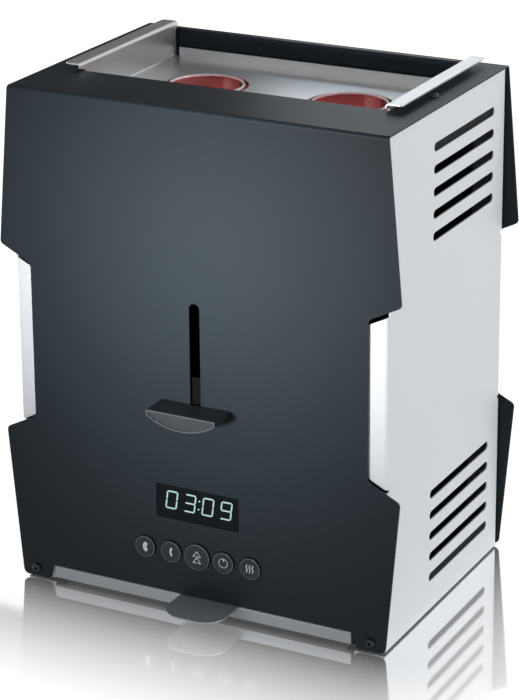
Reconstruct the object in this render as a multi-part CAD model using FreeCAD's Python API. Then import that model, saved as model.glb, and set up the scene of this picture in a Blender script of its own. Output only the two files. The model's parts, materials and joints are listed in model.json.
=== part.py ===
"""Two-tube hot dog toaster: folded hood, side panels, lift mechanism, glass tubes and trays.

Units are millimetres. X runs from left to right, -Y is the front and +Z is up. The pieces
are drawn round the row of tubes, whose axes stand at y = 0, above the surface at z = 0.
Each is then moved along Y, so that the origin lies under the middle of the whole toaster.
"""
import FreeCAD, Part
import math
import os

V = FreeCAD.Vector

# ---------------------------------------------------------------- main sizes
HOOD_WIDTH = 236.0           # between the hood's top corners
HOOD_DEPTH = 164.0           # between its front and rear faces

# ---------------------------------------------------------------- sheets and fits
SHEET = 1.0                  # hood and side panels
HOOD_INNER_BEND = 1.0
SIDE_INNER_BEND = 0.6
PLATE = 1.0                  # base plate, decks, runners and brackets
FIT = 0.1                    # between inner pieces and what holds them
EASY_GAP = 0.2               # under what lifts or slides out by hand
OVERCUT = 5.0                # how far cutting tools stand past a face
SAME_POINT = 1e-6            # points nearer than this count as one

# ---------------------------------------------------------------- glass tubes and heaters
TUBE_OUTER = 46.0
TUBE_WALL = 2.0
TUBE_LENGTH = 187.0
TUBE_EDGE = 0.7              # rounding of the rims
RIM_SHOW = 0.4               # rim above the top tray's floor
SEAT_STEP = 1.5              # floor of the ring that carries a tube
SEAT_LEDGE = 3.5             # how far that floor reaches in from the tube's outer face
SEAT_WALL = 1.0
SEAT_HEIGHT = 4.0
SEAT_CLEAR = 0.3
HEATER_COUNT = 4
HEATER_GAP = 4.0             # between glass and quartz
HEATER_DIAMETER = 8.0
HEATER_WALL = 1.0
HEATER_COIL = 4.0
HEATER_CAP = 10.0
HEATER_CAP_HEIGHT = 11.0
HEATER_SOCKET = 5.5          # how deep the quartz sits in a cap
REFLECTOR_CLEAR = 2.0        # between the caps and the reflector
REFLECTOR_SHEET = 0.6
REFLECTOR_SPACING = 15.4     # between the two reflectors
SHIELD_GAP = 10.5            # between the reflectors and the heat shield
SHIELD_SHEET = 0.8
DECK_FLANGE = 10.0
DECK_MARGIN = 15.4           # deck behind the reflectors
DECK_FRONT_MARGIN = 11.4     # upper deck in front of the heat shield
CUTOUT_DIAMETER = 16.0       # thermal cut-out on the heat shield
CUTOUT_DEPTH = 6.0
CUTOUT_EAR = 4.0
CUTOUT_X = 70.0
CUTOUT_RISE = 104.5          # above the lower deck

# ---------------------------------------------------------------- top tray
TRAY_SHEET = 0.8
TRAY_INNER_BEND = 1.0
TRAY_HOLE_CLEAR = 2.0        # round a glass tube
TRAY_END_MARGIN = 29.0       # from the holes to the front and rear lips
TRAY_LIP = 5.2               # height of those lips above the floor
TRAY_LIP_GAP = 1.0           # open corner between a lip and a side wall's bend
TRAY_RECESS = 16.2           # floor below the hood's top
TRAY_STAND = 4.5             # grip flanges above the hood's top
TRAY_FLANGE = 9.4
TRAY_FLANGE_FRONT = 4.9      # grip flange past the front lip
TRAY_FLANGE_REAR = 1.5
TRAY_CORNER = 2.2
TRAY_WALL_SETBACK = 1.0      # side wall's ends behind the lips' faces
TRAY_WALL_FLARE = 2.0        # height of the slanted ends under the grip flanges

# ---------------------------------------------------------------- hood
OPENING_SIDE_CLEAR = 2.9     # between the tray and the hood's top opening
OPENING_END_CLEAR = 1.6
OPENING_CORNER = 1.0
TOP_FOLD = 14.0              # folded edge at the front and rear of the opening
TOP_FOLD_INSET = 2.0
TOP_SIDE_BORDER = 18.5
TOP_REAR_BORDER = 6.3
WING_REACH = 8.2             # how far the wings stand past the hood's top corners
WING_TIP_RADIUS = 3.0
NOTCH_DEPTH = 11.7           # how far a notch cuts in past the top corners
NOTCH_MIDDLE = 149.2         # middle of a notch above the legs' lower edge
NOTCH_MOUTH = 113.6          # height of a notch at the wings' tips
NOTCH_SLANT = 0.5            # rise over run of its upper and lower edges
NOTCH_INNER_RADIUS = 4.5
LEG_WIDTH = 18.4             # a leg at its lower edge
LEG_SLANT = 1.7              # how far a leg's inner edge leans
LEG_CORNER = 3.5
LEG_INNER_CORNER = 2.5

# ---------------------------------------------------------------- side panels
SIDE_INSET = 1.0             # outer face inside the hood's top corners
SIDE_SETBACK = 2.4           # front tab behind the hood's face
SIDE_LIP_HIDE = 0.1          # folded edge behind the leg's inner edge
SIDE_TOP_GAP = 0.3           # top edge below the hood
TOP_FLANGE = 16.0
BOTTOM_FLANGE = 13.0
CORNER_GAP = 3.5             # open corners between neighbouring folds
TAB_SLIT_UPPER = 3.1         # slit that frees the tab at its upper end
TAB_SLIT_LOWER = 2.4
TAB_SLIT_REACH = 2.2         # how far a slit runs into the side face
TAB_SHOW = 0.8               # tab's lower end above the hood's notch edge
VENT_LENGTH = 84.0
VENT_HEIGHT = 5.2
VENT_PITCH = 12.86
VENT_COUNT = 5
VENT_OFFSET = 1.3            # middle of the vents behind the tubes' axes
VENT_TOP_MARGIN = 20.0       # highest slot below the hood's top
VENT_BOTTOM_MARGIN = 17.6    # lowest slot above the legs' lower edge

# ---------------------------------------------------------------- crumb tray
PAN_SHEET = 0.8
PAN_STAND = 1.5              # above the legs' lower edge
PAN_HEIGHT = 7.5
PAN_SIDE_HEIGHT = 6.5
PAN_SIDE_CLEAR = 1.3         # beside the legs
PAN_FACE_CLEAR = 0.5         # under the front panel and behind its face
PAN_HEADROOM = 2.7           # under the base plate
PAN_REAR_ROOM = 7.0          # behind the tray, inside the hood
PAN_ROLL = 1.3               # radius of the rolled front edge
PULL_WIDTH = 37.5
PULL_REACH = 27.0            # from the hood's face
PULL_OFFSET = 7.0
PULL_CORNER = 13.0
RUNNER_LIP = 4.0             # under the tray's edge
RUNNER_FLANGE = 9.0
PLATE_CORNER = 2.0           # base plate's corners, clear of the side panels' bends
CRUMB_EDGE = 1.1             # between the crumb opening and the magnet
CRUMB_SIDE_MARGIN = 14.6     # between the crumb opening and the tray's sides
CRUMB_CORNER = 4.0

# ---------------------------------------------------------------- lift
LIFT_TRAVEL = 57.0
LIFT_HEADROOM = 4.7          # between the raised bushes and the lower deck
CARRIAGE_SHEET = 2.0
CARRIAGE_MARGIN = 2.0        # carriage past the springs and bushes
CARRIAGE_STEM = 20.0
CARRIAGE_BAR = 12.0
CARRIAGE_CORNER = 2.5
ROD_SPACING = 44.0
ROD_SETBACK = 5.0            # guide rods in front of the heat shield
ROD_DIAMETER = 6.0
ROD_CLEAR = 0.1
BUSH_DIAMETER = 10.0
BUSH_BELOW = 4.0
BUSH_ABOVE = 6.0
MAGNET_DIAMETER = 18.0
MAGNET_CORE = 7.0
MAGNET_HEIGHT = 10.2
MAGNET_POLE = 1.0            # core above the coil
MAGNET_GAP = 0.3
ARMATURE_SHEET = 1.6
SPRING_SIDE_GAP = 2.4        # between a spring and a bush, measured along Y
SPRING_SPACING = 64.0
SPRING_RADIUS = 4.0
SPRING_WIRE = 1.2
SPRING_PITCH = 8.0
SPRING_HEIGHT = 163.7        # from the carriage to the bracket
ARM_WIDTH = 12.0
ARM_SHEET = 1.6
ARM_SETBACK = 14.0           # upright in front of the guide rods
ARM_FOOT = 12.0
RIVET_DIAMETER = 2.0
RIVET_HEAD = 1.2
NECK_WIDTH = 4.8
NECK_HEIGHT = 6.0
NECK_ROOT = 6.0              # how deep the neck sits in the knob
SLOT_SIDE_CLEAR = 0.95
SLOT_BOTTOM_CLEAR = 1.4      # under the lowered neck
SLOT_TOP_CLEAR = 6.1         # above the raised neck
SHUTTER_WIDTH = 12.0
SHUTTER_GAP = 1.0            # behind the hood
SHUTTER_RISE = 15.7          # above the knob
SHUTTER_DROP = 4.0           # below the neck
KNOB_TOP = 128.3             # above the legs' lower edge
KNOB_ROOF = 2.9              # above the neck
KNOB_WIDTH = 43.4
KNOB_DEPTH = 17.4
KNOB_HEIGHT = 9.9
KNOB_END_HEIGHT = 3.2
KNOB_GAP = 0.5               # between the knob and the hood
KNOB_RIM = 0.9
KNOB_RIM_DEPTH = 0.5
HOLDER_RISE = 6.0            # cup above the lower deck
HOLDER_ROD = 4.0
HOLDER_CUP = 35.0
HOLDER_CUP_SHEET = 1.5
HOLDER_PRONG_COUNT = 3
HOLDER_PRONG = 1.6
HOLDER_PRONG_RING = 33.0
HOLDER_PRONG_HEIGHT = 55.0
HOLDER_DRAIN_COUNT = 6
HOLDER_DRAIN = 4.0
HOLDER_DRAIN_RING = 18.0

# ---------------------------------------------------------------- front controls
BUTTON_ROW = 35.0            # above the legs' lower edge
BUTTON_HOLE = 13.6
BUTTON_START_HOLE = 16.6
BUTTON_BRIDGE = 1.9          # sheet between the middle hole and its neighbours
BUTTON_CLEAR = 0.4
BUTTON_PROUD = 1.6
BUTTON_EDGE = 0.6
BUTTON_DISH = 0.35           # hollow of a button's face
BUTTON_DISH_RADIUS = 40.0
BUTTON_TRAVEL = 0.5
BUTTON_RIM = 0.6             # rim behind the hood, past the hole's edge
BUTTON_RIM_SHEET = 1.2
BUTTON_RIM_GAP = 0.3
BUTTON_STEM = 5.0
BUTTON_STEM_CLEAR = 0.3
WINDOW_MIDDLE = 65.7
WINDOW_WIDTH = 53.2
WINDOW_HEIGHT = 20.6
WINDOW_CORNER = 0.5
PANE_RECESS = 0.3
PANE_CLEAR = 0.25
PANE_LIP = 2.5               # pane's rim behind the hood
PANE_LIP_SHEET = 1.2
BOARD_SHEET = 1.6
BOARD_STANDOFF = 11.0        # control board behind the hood
BOARD_TOP_MARGIN = 8.0       # above the window
BOARD_BOTTOM_MARGIN = 15.0   # below the button row
BOARD_SIDE_MARGIN = 22.0     # past the outer buttons
SPACER_DIAMETER = 6.0
SPACER_INSET = 4.0
CARRIER_SHEET = 2.0
CARRIER_HEIGHT = 25.0
CARRIER_MARGIN = 12.0        # past the outer buttons
CARRIER_POST = 4.4
CARRIER_POST_INSET = 3.0
SWITCH_SIZE = 6.0
SWITCH_HEIGHT = 3.4
PLUNGER_DIAMETER = 3.4
PLUNGER_HEIGHT = 0.8
PLUNGER_GAP = 0.6

# ---------------------------------------------------------------- screws, feet and electrics
SCREW_SHANK = 3.0
SCREW_CLEAR = 0.2            # on the radius, in the hood
SCREW_HEAD = 5.4
SCREW_HEAD_HEIGHT = 2.1
SCREW_DOME = 1.4
SCREW_LENGTH = 7.0
SOCKET = 2.2
SOCKET_DEPTH = 1.2
LEG_SCREW_INSET = 9.0        # from the hood's top corner, along X
LEG_SCREW_RISE = 5.4
TOP_SCREW_INSET = 6.5        # from the top flange's inner edge
FOOT_HEIGHT = 1.5            # rubber below the casing
FOOT_DIAMETER = 12.0
FOOT_STEM = 5.0
FOOT_HEAD = 7.0
FOOT_INSET = 18.0            # from the hood's front and rear faces
GLAND_RISE = 26.0
GLAND_SIDE_GAP = 4.0         # between the gland and the side panel's fold
GLAND_DIAMETER = 16.0
GLAND_NECK = 12.0
GLAND_BORE = 7.0
GLAND_REACH = 4.0
GLAND_EDGE = 1.5
GLAND_KEEPER = 3.0
WALL_ROOM = 6.0              # between the electrics and the casing's sides
BOARD_GAP = 1.4              # between the electrics and the control board
POWER_WIDTH = 50.0
POWER_DEPTH = 42.0
POWER_STANDOFF = 8.0
RELAY_WIDTH = 19.0
RELAY_DEPTH = 16.0
RELAY_HEIGHT = 15.0
CAPACITOR_DIAMETER = 12.0
CAPACITOR_HEIGHT = 20.0
TRANSFORMER_WIDTH = 42.0
TRANSFORMER_DEPTH = 32.0
TRANSFORMER_HEIGHT = 34.0
WINDING_WIDTH = 5.0
WINDING_DEPTH = 24.0
WINDING_HEIGHT = 18.0
TERMINAL_WIDTH = 24.0
TERMINAL_DEPTH = 11.0
TERMINAL_HEIGHT = 14.0
MICROSWITCH_WIDTH = 20.0
MICROSWITCH_DEPTH = 9.0
MICROSWITCH_HEIGHT = 9.6
MICROSWITCH_PLUNGER = 3.0

BUTTON_NAMES = ("button_thick_sausage", "button_thin_sausage", "button_start",
                "button_timer", "button_keep_warm")

# ---------------------------------------------------------------- derived heights
LEG_Z = FOOT_HEIGHT
PAN_Z = LEG_Z + PAN_STAND
PAN_TOP = PAN_Z + PAN_HEIGHT
LEG_OPENING_TOP = PAN_TOP + PAN_FACE_CLEAR
BASE_Z = PAN_TOP + PAN_HEADROOM
BASE_TOP = BASE_Z + PLATE
MAGNET_TOP = BASE_TOP + MAGNET_HEIGHT
ARMATURE_Z = MAGNET_TOP + MAGNET_GAP
CARRIAGE_Z = ARMATURE_Z + ARMATURE_SHEET
CARRIAGE_TOP = CARRIAGE_Z + CARRIAGE_SHEET
LOWER_Z = CARRIAGE_TOP + BUSH_ABOVE + LIFT_TRAVEL + LIFT_HEADROOM
LOWER_TOP = LOWER_Z + PLATE
TUBE_BOTTOM = LOWER_TOP + SEAT_STEP + EASY_GAP
TUBE_TOP = TUBE_BOTTOM + TUBE_LENGTH
FLOOR_TOP = TUBE_TOP - RIM_SHOW
FLOOR_Z = FLOOR_TOP - TRAY_SHEET
UPPER_TOP = FLOOR_Z - EASY_GAP
UPPER_Z = UPPER_TOP - PLATE
TOP_Z = FLOOR_TOP + TRAY_RECESS
SIDE_TOP = TOP_Z - SHEET - SIDE_TOP_GAP
FLANGE_TOP = TOP_Z + TRAY_STAND
HOLDER_CUP_Z = LOWER_TOP + HOLDER_RISE
SPRING_SHELF_Z = CARRIAGE_TOP + SPRING_HEIGHT
KNOB_Z = LEG_Z + KNOB_TOP
NECK_Z = KNOB_Z - KNOB_ROOF - NECK_HEIGHT
ARM_TOP = KNOB_Z + SHUTTER_RISE
BUTTON_Z = LEG_Z + BUTTON_ROW
WINDOW_Z = LEG_Z + WINDOW_MIDDLE
BOARD_Z0 = BUTTON_Z - BOARD_BOTTOM_MARGIN
BOARD_Z1 = WINDOW_Z + WINDOW_HEIGHT / 2 + BOARD_TOP_MARGIN
LEG_SCREW_Z = LEG_Z + LEG_SCREW_RISE
GLAND_Z = LEG_Z + GLAND_RISE

# ---------------------------------------------------------------- derived widths
HEATER_RING = TUBE_OUTER / 2 + HEATER_GAP + HEATER_DIAMETER / 2
REFLECTOR_INNER = HEATER_RING + HEATER_CAP / 2 + REFLECTOR_CLEAR
REFLECTOR_OUTER = REFLECTOR_INNER + REFLECTOR_SHEET
TUBE_X = REFLECTOR_OUTER + REFLECTOR_SPACING / 2
TRAY_HOLE = TUBE_OUTER / 2 + TRAY_HOLE_CLEAR
HALF_TOP = HOOD_WIDTH / 2
OPENING_X = HALF_TOP - TOP_SIDE_BORDER
TRAY_X = OPENING_X - OPENING_SIDE_CLEAR
WING_X = HALF_TOP + WING_REACH
NOTCH_X = HALF_TOP - NOTCH_DEPTH
LEG_X = HALF_TOP - LEG_WIDTH
PAN_X = LEG_X - LEG_SLANT - PAN_SIDE_CLEAR
SIDE_X = HALF_TOP - SIDE_INSET
SIDE_LIP_X = LEG_X - LEG_SLANT + SIDE_LIP_HIDE
INNER_X = SIDE_X - SHEET - FIT
GLAND_X = GLAND_DIAMETER / 2 + GLAND_SIDE_GAP - SIDE_LIP_X
LEG_SCREW_X = HALF_TOP - LEG_SCREW_INSET
TOP_SCREW_X = SIDE_X - TOP_FLANGE + TOP_SCREW_INSET
FOOT_X = SIDE_X - BOTTOM_FLANGE + FOOT_DIAMETER / 2
BUTTON_PITCH = (BUTTON_HOLE + BUTTON_START_HOLE) / 2 + BUTTON_BRIDGE
BUTTON_SPAN = BUTTON_PITCH * (len(BUTTON_NAMES) - 1) / 2
SLOT_X = NECK_WIDTH / 2 + SLOT_SIDE_CLEAR
CARRIAGE_X = SPRING_SPACING / 2 + SPRING_RADIUS + CARRIAGE_MARGIN

# ---------------------------------------------------------------- derived depths
TRAY_Y = TRAY_HOLE + TRAY_END_MARGIN
OPENING_Y = TRAY_Y + OPENING_END_CLEAR
REAR = OPENING_Y + TOP_REAR_BORDER
DECK_REAR = REFLECTOR_OUTER + DECK_MARGIN
SHIELD_Y = -REFLECTOR_OUTER - SHIELD_GAP
ROD_Y = SHIELD_Y - ROD_SETBACK
SPRING_Y = ROD_Y - BUSH_DIAMETER / 2 - SPRING_SIDE_GAP - SPRING_RADIUS - SPRING_WIRE / 2
ARM_Y = ROD_Y - ARM_SETBACK
CARRIAGE_FRONT = SPRING_Y - SPRING_RADIUS - CARRIAGE_MARGIN
FRONT = REAR - HOOD_DEPTH
HOOD_INSIDE = FRONT + SHEET
BOARD_Y = HOOD_INSIDE + BOARD_STANDOFF
MIDDLE_Y = (FRONT + REAR) / 2
SIDE_FRONT = FRONT + SIDE_SETBACK
SIDE_REAR = REAR - SIDE_SETBACK
PLATE_FRONT = SIDE_FRONT + SHEET + FIT
PLATE_REAR = SIDE_REAR - SHEET - FIT
PAN_REAR = REAR - SHEET - PAN_REAR_ROOM
CRUMB_Y = -ROD_Y - MAGNET_DIAMETER / 2 - CRUMB_EDGE
LOWER_FRONT = ROD_Y - ROD_DIAMETER
UPPER_FRONT = SHIELD_Y - DECK_FRONT_MARGIN
SCREW_HOLE = SCREW_SHANK / 2 + SCREW_CLEAR
FRAME_SHIFT = -(FRONT - PULL_REACH + REAR + GLAND_REACH) / 2

os.makedirs("parts", exist_ok=True)


# ---------------------------------------------------------------- helpers
def box(x0, x1, y0, y1, z0, z1):
    return Part.makeBox(x1 - x0, y1 - y0, z1 - z0, V(x0, y0, z0))


def rod(radius, start, end):
    axis = V(*end) - V(*start)
    return Part.makeCylinder(radius, axis.Length, V(*start), axis)


def ring(outer, inner, start, end):
    return rod(outer, start, end).cut(rod(inner, start, end))


def fuse(shapes):
    whole = shapes[0].fuse(shapes[1:])
    return whole.removeSplitter()


def mirror_x(shape):
    return shape.mirror(V(0, 0, 0), V(1, 0, 0))


def front_and_rear(shape):
    """The shape and its mirror image at the other end of the casing."""
    return [shape, shape.mirror(V(0, MIDDLE_Y, 0), V(0, 1, 0))]


def soften(shape, radius, chosen):
    """Fillet the edges whose middle point the chosen test accepts."""
    edges = [edge for edge in shape.Edges if chosen(edge.CenterOfMass)]
    return shape.makeFillet(radius, edges)


def on_front(u, v):
    return V(u, 0, v)


def on_floor(u, v):
    return V(u, v, 0)


def on_side(u, v):
    return V(0, u, v)


def rounded_face(corners, place):
    """Flat face from (u, v, radius) corners, which place turns into points in space."""
    count = len(corners)
    bends = []
    for i in range(count):
        u, v, radius = corners[i]
        here = V(u, v, 0)
        before = V(corners[i - 1][0], corners[i - 1][1], 0) - here
        after = V(corners[(i + 1) % count][0], corners[(i + 1) % count][1], 0) - here
        if radius <= 0:
            bends.append((here, here, here))
            continue
        before.normalize()
        after.normalize()
        half = before.getAngle(after) / 2
        reach = radius / math.tan(half)
        inward = before + after
        inward.normalize()
        centre = here + inward * (radius / math.sin(half))
        bends.append((here + before * reach, centre - inward * radius, here + after * reach))
    edges = []
    for i in range(count):
        start, bulge, end = [place(point.x, point.y) for point in bends[i]]
        following = bends[(i + 1) % count][0]
        following = place(following.x, following.y)
        if start != end:
            edges.append(Part.Arc(start, bulge, end).toShape())
        if following.distanceToPoint(end) > SAME_POINT:
            edges.append(Part.LineSegment(end, following).toShape())
    return Part.Face(Part.Wire(edges))


def prism_x(corners, x0, x1):
    face = rounded_face(corners, on_side)
    face.translate(V(x0, 0, 0))
    return face.extrude(V(x1 - x0, 0, 0))


def prism_y(corners, y0, y1):
    face = rounded_face(corners, on_front)
    face.translate(V(0, y0, 0))
    return face.extrude(V(0, y1 - y0, 0))


def prism_z(corners, z0, z1):
    face = rounded_face(corners, on_floor)
    face.translate(V(0, 0, z0))
    return face.extrude(V(0, 0, z1 - z0))


def rectangle(u0, u1, v0, v1, radius=0.0):
    return [(u0, v0, radius), (u1, v0, radius), (u1, v1, radius), (u0, v1, radius)]


def round_slot(u0, u1, v0, v1):
    """Corners of a slot with round ends."""
    return rectangle(u0, u1, v0, v1, min(u1 - u0, v1 - v0) / 2)


def save(name, *shapes):
    """Move the solids into the toaster's frame and write them as one node."""
    pieces = []
    for shape in shapes:
        for solid in shape.Solids:
            moved = solid.copy()
            moved.translate(V(0, FRAME_SHIFT, 0))
            pieces.append(moved)
    node = pieces[0] if len(pieces) == 1 else Part.makeCompound(pieces)
    if not node.isValid():
        raise ValueError("invalid shape in " + name)
    node.exportStep("parts/" + name + ".step")
    size = node.optimalBoundingBox(False)
    corners = (size.XMin, size.XMax, size.YMin, size.YMax, size.ZMin, size.ZMax)
    print("%-22s %2d  X %7.1f %6.1f  Y %7.1f %6.1f  Z %6.1f %6.1f" % ((name, len(pieces)) + corners))


# ---------------------------------------------------------------- hood and side panels
def notch_edge(x, side):
    """Height at x of the hood's upper (side 1) or lower (side -1) notch edge."""
    rise = NOTCH_MOUTH / 2 - (WING_X - x) * NOTCH_SLANT
    return LEG_Z + NOTCH_MIDDLE + side * rise


def hood_outline():
    right = [
        (HALF_TOP, TOP_Z, 0),
        (WING_X, notch_edge(WING_X, 1), WING_TIP_RADIUS),
        (NOTCH_X, notch_edge(NOTCH_X, 1), NOTCH_INNER_RADIUS),
        (NOTCH_X, notch_edge(NOTCH_X, -1), NOTCH_INNER_RADIUS),
        (WING_X, notch_edge(WING_X, -1), WING_TIP_RADIUS),
        (HALF_TOP, LEG_Z, LEG_CORNER),
        (LEG_X, LEG_Z, LEG_INNER_CORNER),
        (LEG_X - LEG_SLANT, LEG_OPENING_TOP, LEG_INNER_CORNER),
    ]
    left = [(-x, z, radius) for x, z, radius in reversed(right)]
    return right + left


def button_places():
    """Name, x and hole radius of each button; the middle one starts the toaster."""
    places = []
    for i, name in enumerate(BUTTON_NAMES):
        hole = BUTTON_START_HOLE if name == "button_start" else BUTTON_HOLE
        places.append((name, i * BUTTON_PITCH - BUTTON_SPAN, hole / 2))
    return places


def front_cuts():
    """Lever slot, window and button holes of the front panel."""
    y0 = FRONT - OVERCUT
    y1 = HOOD_INSIDE + OVERCUT
    slot_top = NECK_Z + NECK_HEIGHT + LIFT_TRAVEL + SLOT_TOP_CLEAR
    cuts = [prism_y(round_slot(-SLOT_X, SLOT_X, NECK_Z - SLOT_BOTTOM_CLEAR, slot_top), y0, y1)]
    half_x = WINDOW_WIDTH / 2
    half_z = WINDOW_HEIGHT / 2
    window = rectangle(-half_x, half_x, WINDOW_Z - half_z, WINDOW_Z + half_z, WINDOW_CORNER)
    cuts.append(prism_y(window, y0, y1))
    for name, x, radius in button_places():
        cuts.append(rod(radius, (x, y0, BUTTON_Z), (x, y1, BUTTON_Z)))
    return cuts


def build_hood():
    """One folded sheet, written as three nodes that meet where its bends begin."""
    outer_bend = HOOD_INNER_BEND + SHEET
    outside = [(FRONT, 0, 0), (REAR, 0, 0), (REAR, TOP_Z, outer_bend), (FRONT, TOP_Z, outer_bend)]
    inside = [(HOOD_INSIDE, -OVERCUT, 0), (REAR - SHEET, -OVERCUT, 0),
              (REAR - SHEET, TOP_Z - SHEET, HOOD_INNER_BEND), (HOOD_INSIDE, TOP_Z - SHEET, HOOD_INNER_BEND)]
    sheet = prism_x(outside, -WING_X, WING_X).cut(prism_x(inside, -WING_X - OVERCUT, WING_X + OVERCUT))
    hood = sheet.common(prism_y(hood_outline(), FRONT - OVERCUT, REAR + OVERCUT))
    fold_x = OPENING_X - TOP_FOLD_INSET
    for y in (-OPENING_Y - SHEET, OPENING_Y):
        hood = hood.fuse(box(-fold_x, fold_x, y, y + SHEET, TOP_Z - TOP_FOLD, TOP_Z - SHEET / 2))
    opening = rectangle(-OPENING_X, OPENING_X, -OPENING_Y, OPENING_Y, OPENING_CORNER)
    cuts = front_cuts() + [prism_z(opening, TOP_Z - TOP_FOLD, TOP_Z + OVERCUT)]
    for x in (-LEG_SCREW_X, LEG_SCREW_X):
        cuts.append(rod(SCREW_HOLE, (x, FRONT - OVERCUT, LEG_SCREW_Z), (x, REAR + OVERCUT, LEG_SCREW_Z)))
    for x in (-TOP_SCREW_X, TOP_SCREW_X):
        cuts.append(rod(SCREW_HOLE, (x, MIDDLE_Y, TOP_Z - OVERCUT), (x, MIDDLE_Y, TOP_Z + OVERCUT)))
    cuts.append(rod(GLAND_NECK / 2, (GLAND_X, REAR - OVERCUT, GLAND_Z), (GLAND_X, REAR + OVERCUT, GLAND_Z)))
    hood = hood.cut(cuts).removeSplitter()
    bend_z = TOP_Z - outer_bend
    front = box(-WING_X - OVERCUT, WING_X + OVERCUT, FRONT - OVERCUT, HOOD_INSIDE, 0, bend_z)
    rear = box(-WING_X - OVERCUT, WING_X + OVERCUT, REAR - SHEET, REAR + OVERCUT, 0, bend_z)
    save("hood_front", hood.common(front))
    save("hood_rear", hood.common(rear))
    save("hood_top", hood.cut([front, rear]))


def tab_slit(side):
    """Slanted slit that frees the front tab from the fold above or below it."""
    if side > 0:
        low = -TAB_SLIT_UPPER
        high = 0
    else:
        low = TAB_SHOW - TAB_SLIT_LOWER
        high = TAB_SHOW
    x0 = SIDE_LIP_X - OVERCUT
    x1 = SIDE_X + OVERCUT
    z0 = notch_edge(x0, side)
    z1 = notch_edge(x1, side)
    corners = [(x0, z0 + low, 0), (x1, z1 + low, 0), (x1, z1 + high, 0), (x0, z0 + high, 0)]
    return prism_y(corners, SIDE_FRONT - OVERCUT, SIDE_FRONT + SHEET + TAB_SLIT_REACH)


def vent_cuts():
    top_group = TOP_Z - VENT_TOP_MARGIN - VENT_HEIGHT - (VENT_COUNT - 1) * VENT_PITCH
    bottom_group = LEG_Z + VENT_BOTTOM_MARGIN
    y0 = VENT_OFFSET - VENT_LENGTH / 2
    cuts = []
    for group_z in (bottom_group, top_group):
        for i in range(VENT_COUNT):
            z = group_z + i * VENT_PITCH
            outline = round_slot(y0, y0 + VENT_LENGTH, z, z + VENT_HEIGHT)
            cuts.append(prism_x(outline, SIDE_X - OVERCUT, SIDE_X + OVERCUT))
    return cuts


def build_side_panels():
    outer_bend = SIDE_INNER_BEND + SHEET
    outline = [(SIDE_X, SIDE_FRONT, outer_bend), (SIDE_X, SIDE_REAR, outer_bend),
               (SIDE_LIP_X, SIDE_REAR, 0), (SIDE_LIP_X, SIDE_FRONT, 0)]
    inner_x = SIDE_X - SHEET
    deep_x = SIDE_LIP_X - OVERCUT
    hollow = [(inner_x, SIDE_FRONT + SHEET, SIDE_INNER_BEND), (inner_x, SIDE_REAR - SHEET, SIDE_INNER_BEND),
              (deep_x, SIDE_REAR - SHEET, 0), (deep_x, SIDE_FRONT + SHEET, 0)]
    panel = prism_z(outline, LEG_Z, SIDE_TOP).cut(prism_z(hollow, LEG_Z - OVERCUT, SIDE_TOP + OVERCUT))
    y0 = SIDE_FRONT + CORNER_GAP
    y1 = SIDE_REAR - CORNER_GAP
    web_x = SIDE_X - SHEET / 2
    top = box(SIDE_X - TOP_FLANGE, web_x, y0, y1, SIDE_TOP - SHEET, SIDE_TOP)
    bottom = box(SIDE_X - BOTTOM_FLANGE, web_x, y0, y1, LEG_Z, LEG_Z + SHEET)
    panel = panel.fuse([top, bottom])
    cuts = vent_cuts()
    for side in (1, -1):
        cuts.extend(front_and_rear(tab_slit(side)))
    tapped = SCREW_SHANK / 2 + FIT
    leg_hole = rod(tapped, (LEG_SCREW_X, SIDE_FRONT - SHEET, LEG_SCREW_Z),
                   (LEG_SCREW_X, SIDE_FRONT + 2 * SHEET, LEG_SCREW_Z))
    cuts.extend(front_and_rear(leg_hole))
    cuts.append(rod(tapped, (TOP_SCREW_X, MIDDLE_Y, SIDE_TOP - OVERCUT), (TOP_SCREW_X, MIDDLE_Y, TOP_Z)))
    foot_y = FRONT + FOOT_INSET
    cuts.extend(front_and_rear(rod(FOOT_STEM / 2, (FOOT_X, foot_y, 0), (FOOT_X, foot_y, LEG_Z + 2 * SHEET))))
    panel = panel.cut(cuts).removeSplitter()
    save("side_panel_right", panel)
    save("side_panel_left", mirror_x(panel))


def screw(seat, direction):
    """Button-head screw; seat lies under the head and direction points into the work."""
    seat = V(*seat)
    into = V(*direction)
    top = seat - into * SCREW_HEAD_HEIGHT
    head = Part.makeCylinder(SCREW_HEAD / 2, SCREW_HEAD_HEIGHT, seat, into * -1)
    head = soften(head, SCREW_DOME, lambda middle: middle.distanceToPoint(top) < FIT)
    shank = Part.makeCylinder(SCREW_SHANK / 2, SCREW_LENGTH, seat, into)
    socket = Part.makeCylinder(SOCKET / 2, SOCKET_DEPTH, top, into)
    return head.fuse(shank).cut(socket).removeSplitter()


def build_screws_and_feet():
    screws = []
    feet = []
    for x in (-1, 1):
        screws.append(screw((x * LEG_SCREW_X, FRONT, LEG_SCREW_Z), (0, 1, 0)))
        screws.append(screw((x * LEG_SCREW_X, REAR, LEG_SCREW_Z), (0, -1, 0)))
        screws.append(screw((x * TOP_SCREW_X, MIDDLE_Y, TOP_Z), (0, 0, -1)))
        for y in (FRONT + FOOT_INSET, REAR - FOOT_INSET):
            flange_top = LEG_Z + SHEET
            foot_x = x * FOOT_X
            pad = rod(FOOT_DIAMETER / 2, (foot_x, y, 0), (foot_x, y, LEG_Z))
            stem = rod(FOOT_STEM / 2 - FIT, (foot_x, y, 0), (foot_x, y, flange_top + SHEET))
            head = rod(FOOT_HEAD / 2, (foot_x, y, flange_top), (foot_x, y, flange_top + SHEET))
            feet.append(fuse([pad, stem, head]))
    save("hood_screws", *screws)
    save("rubber_feet", *feet)


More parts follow.
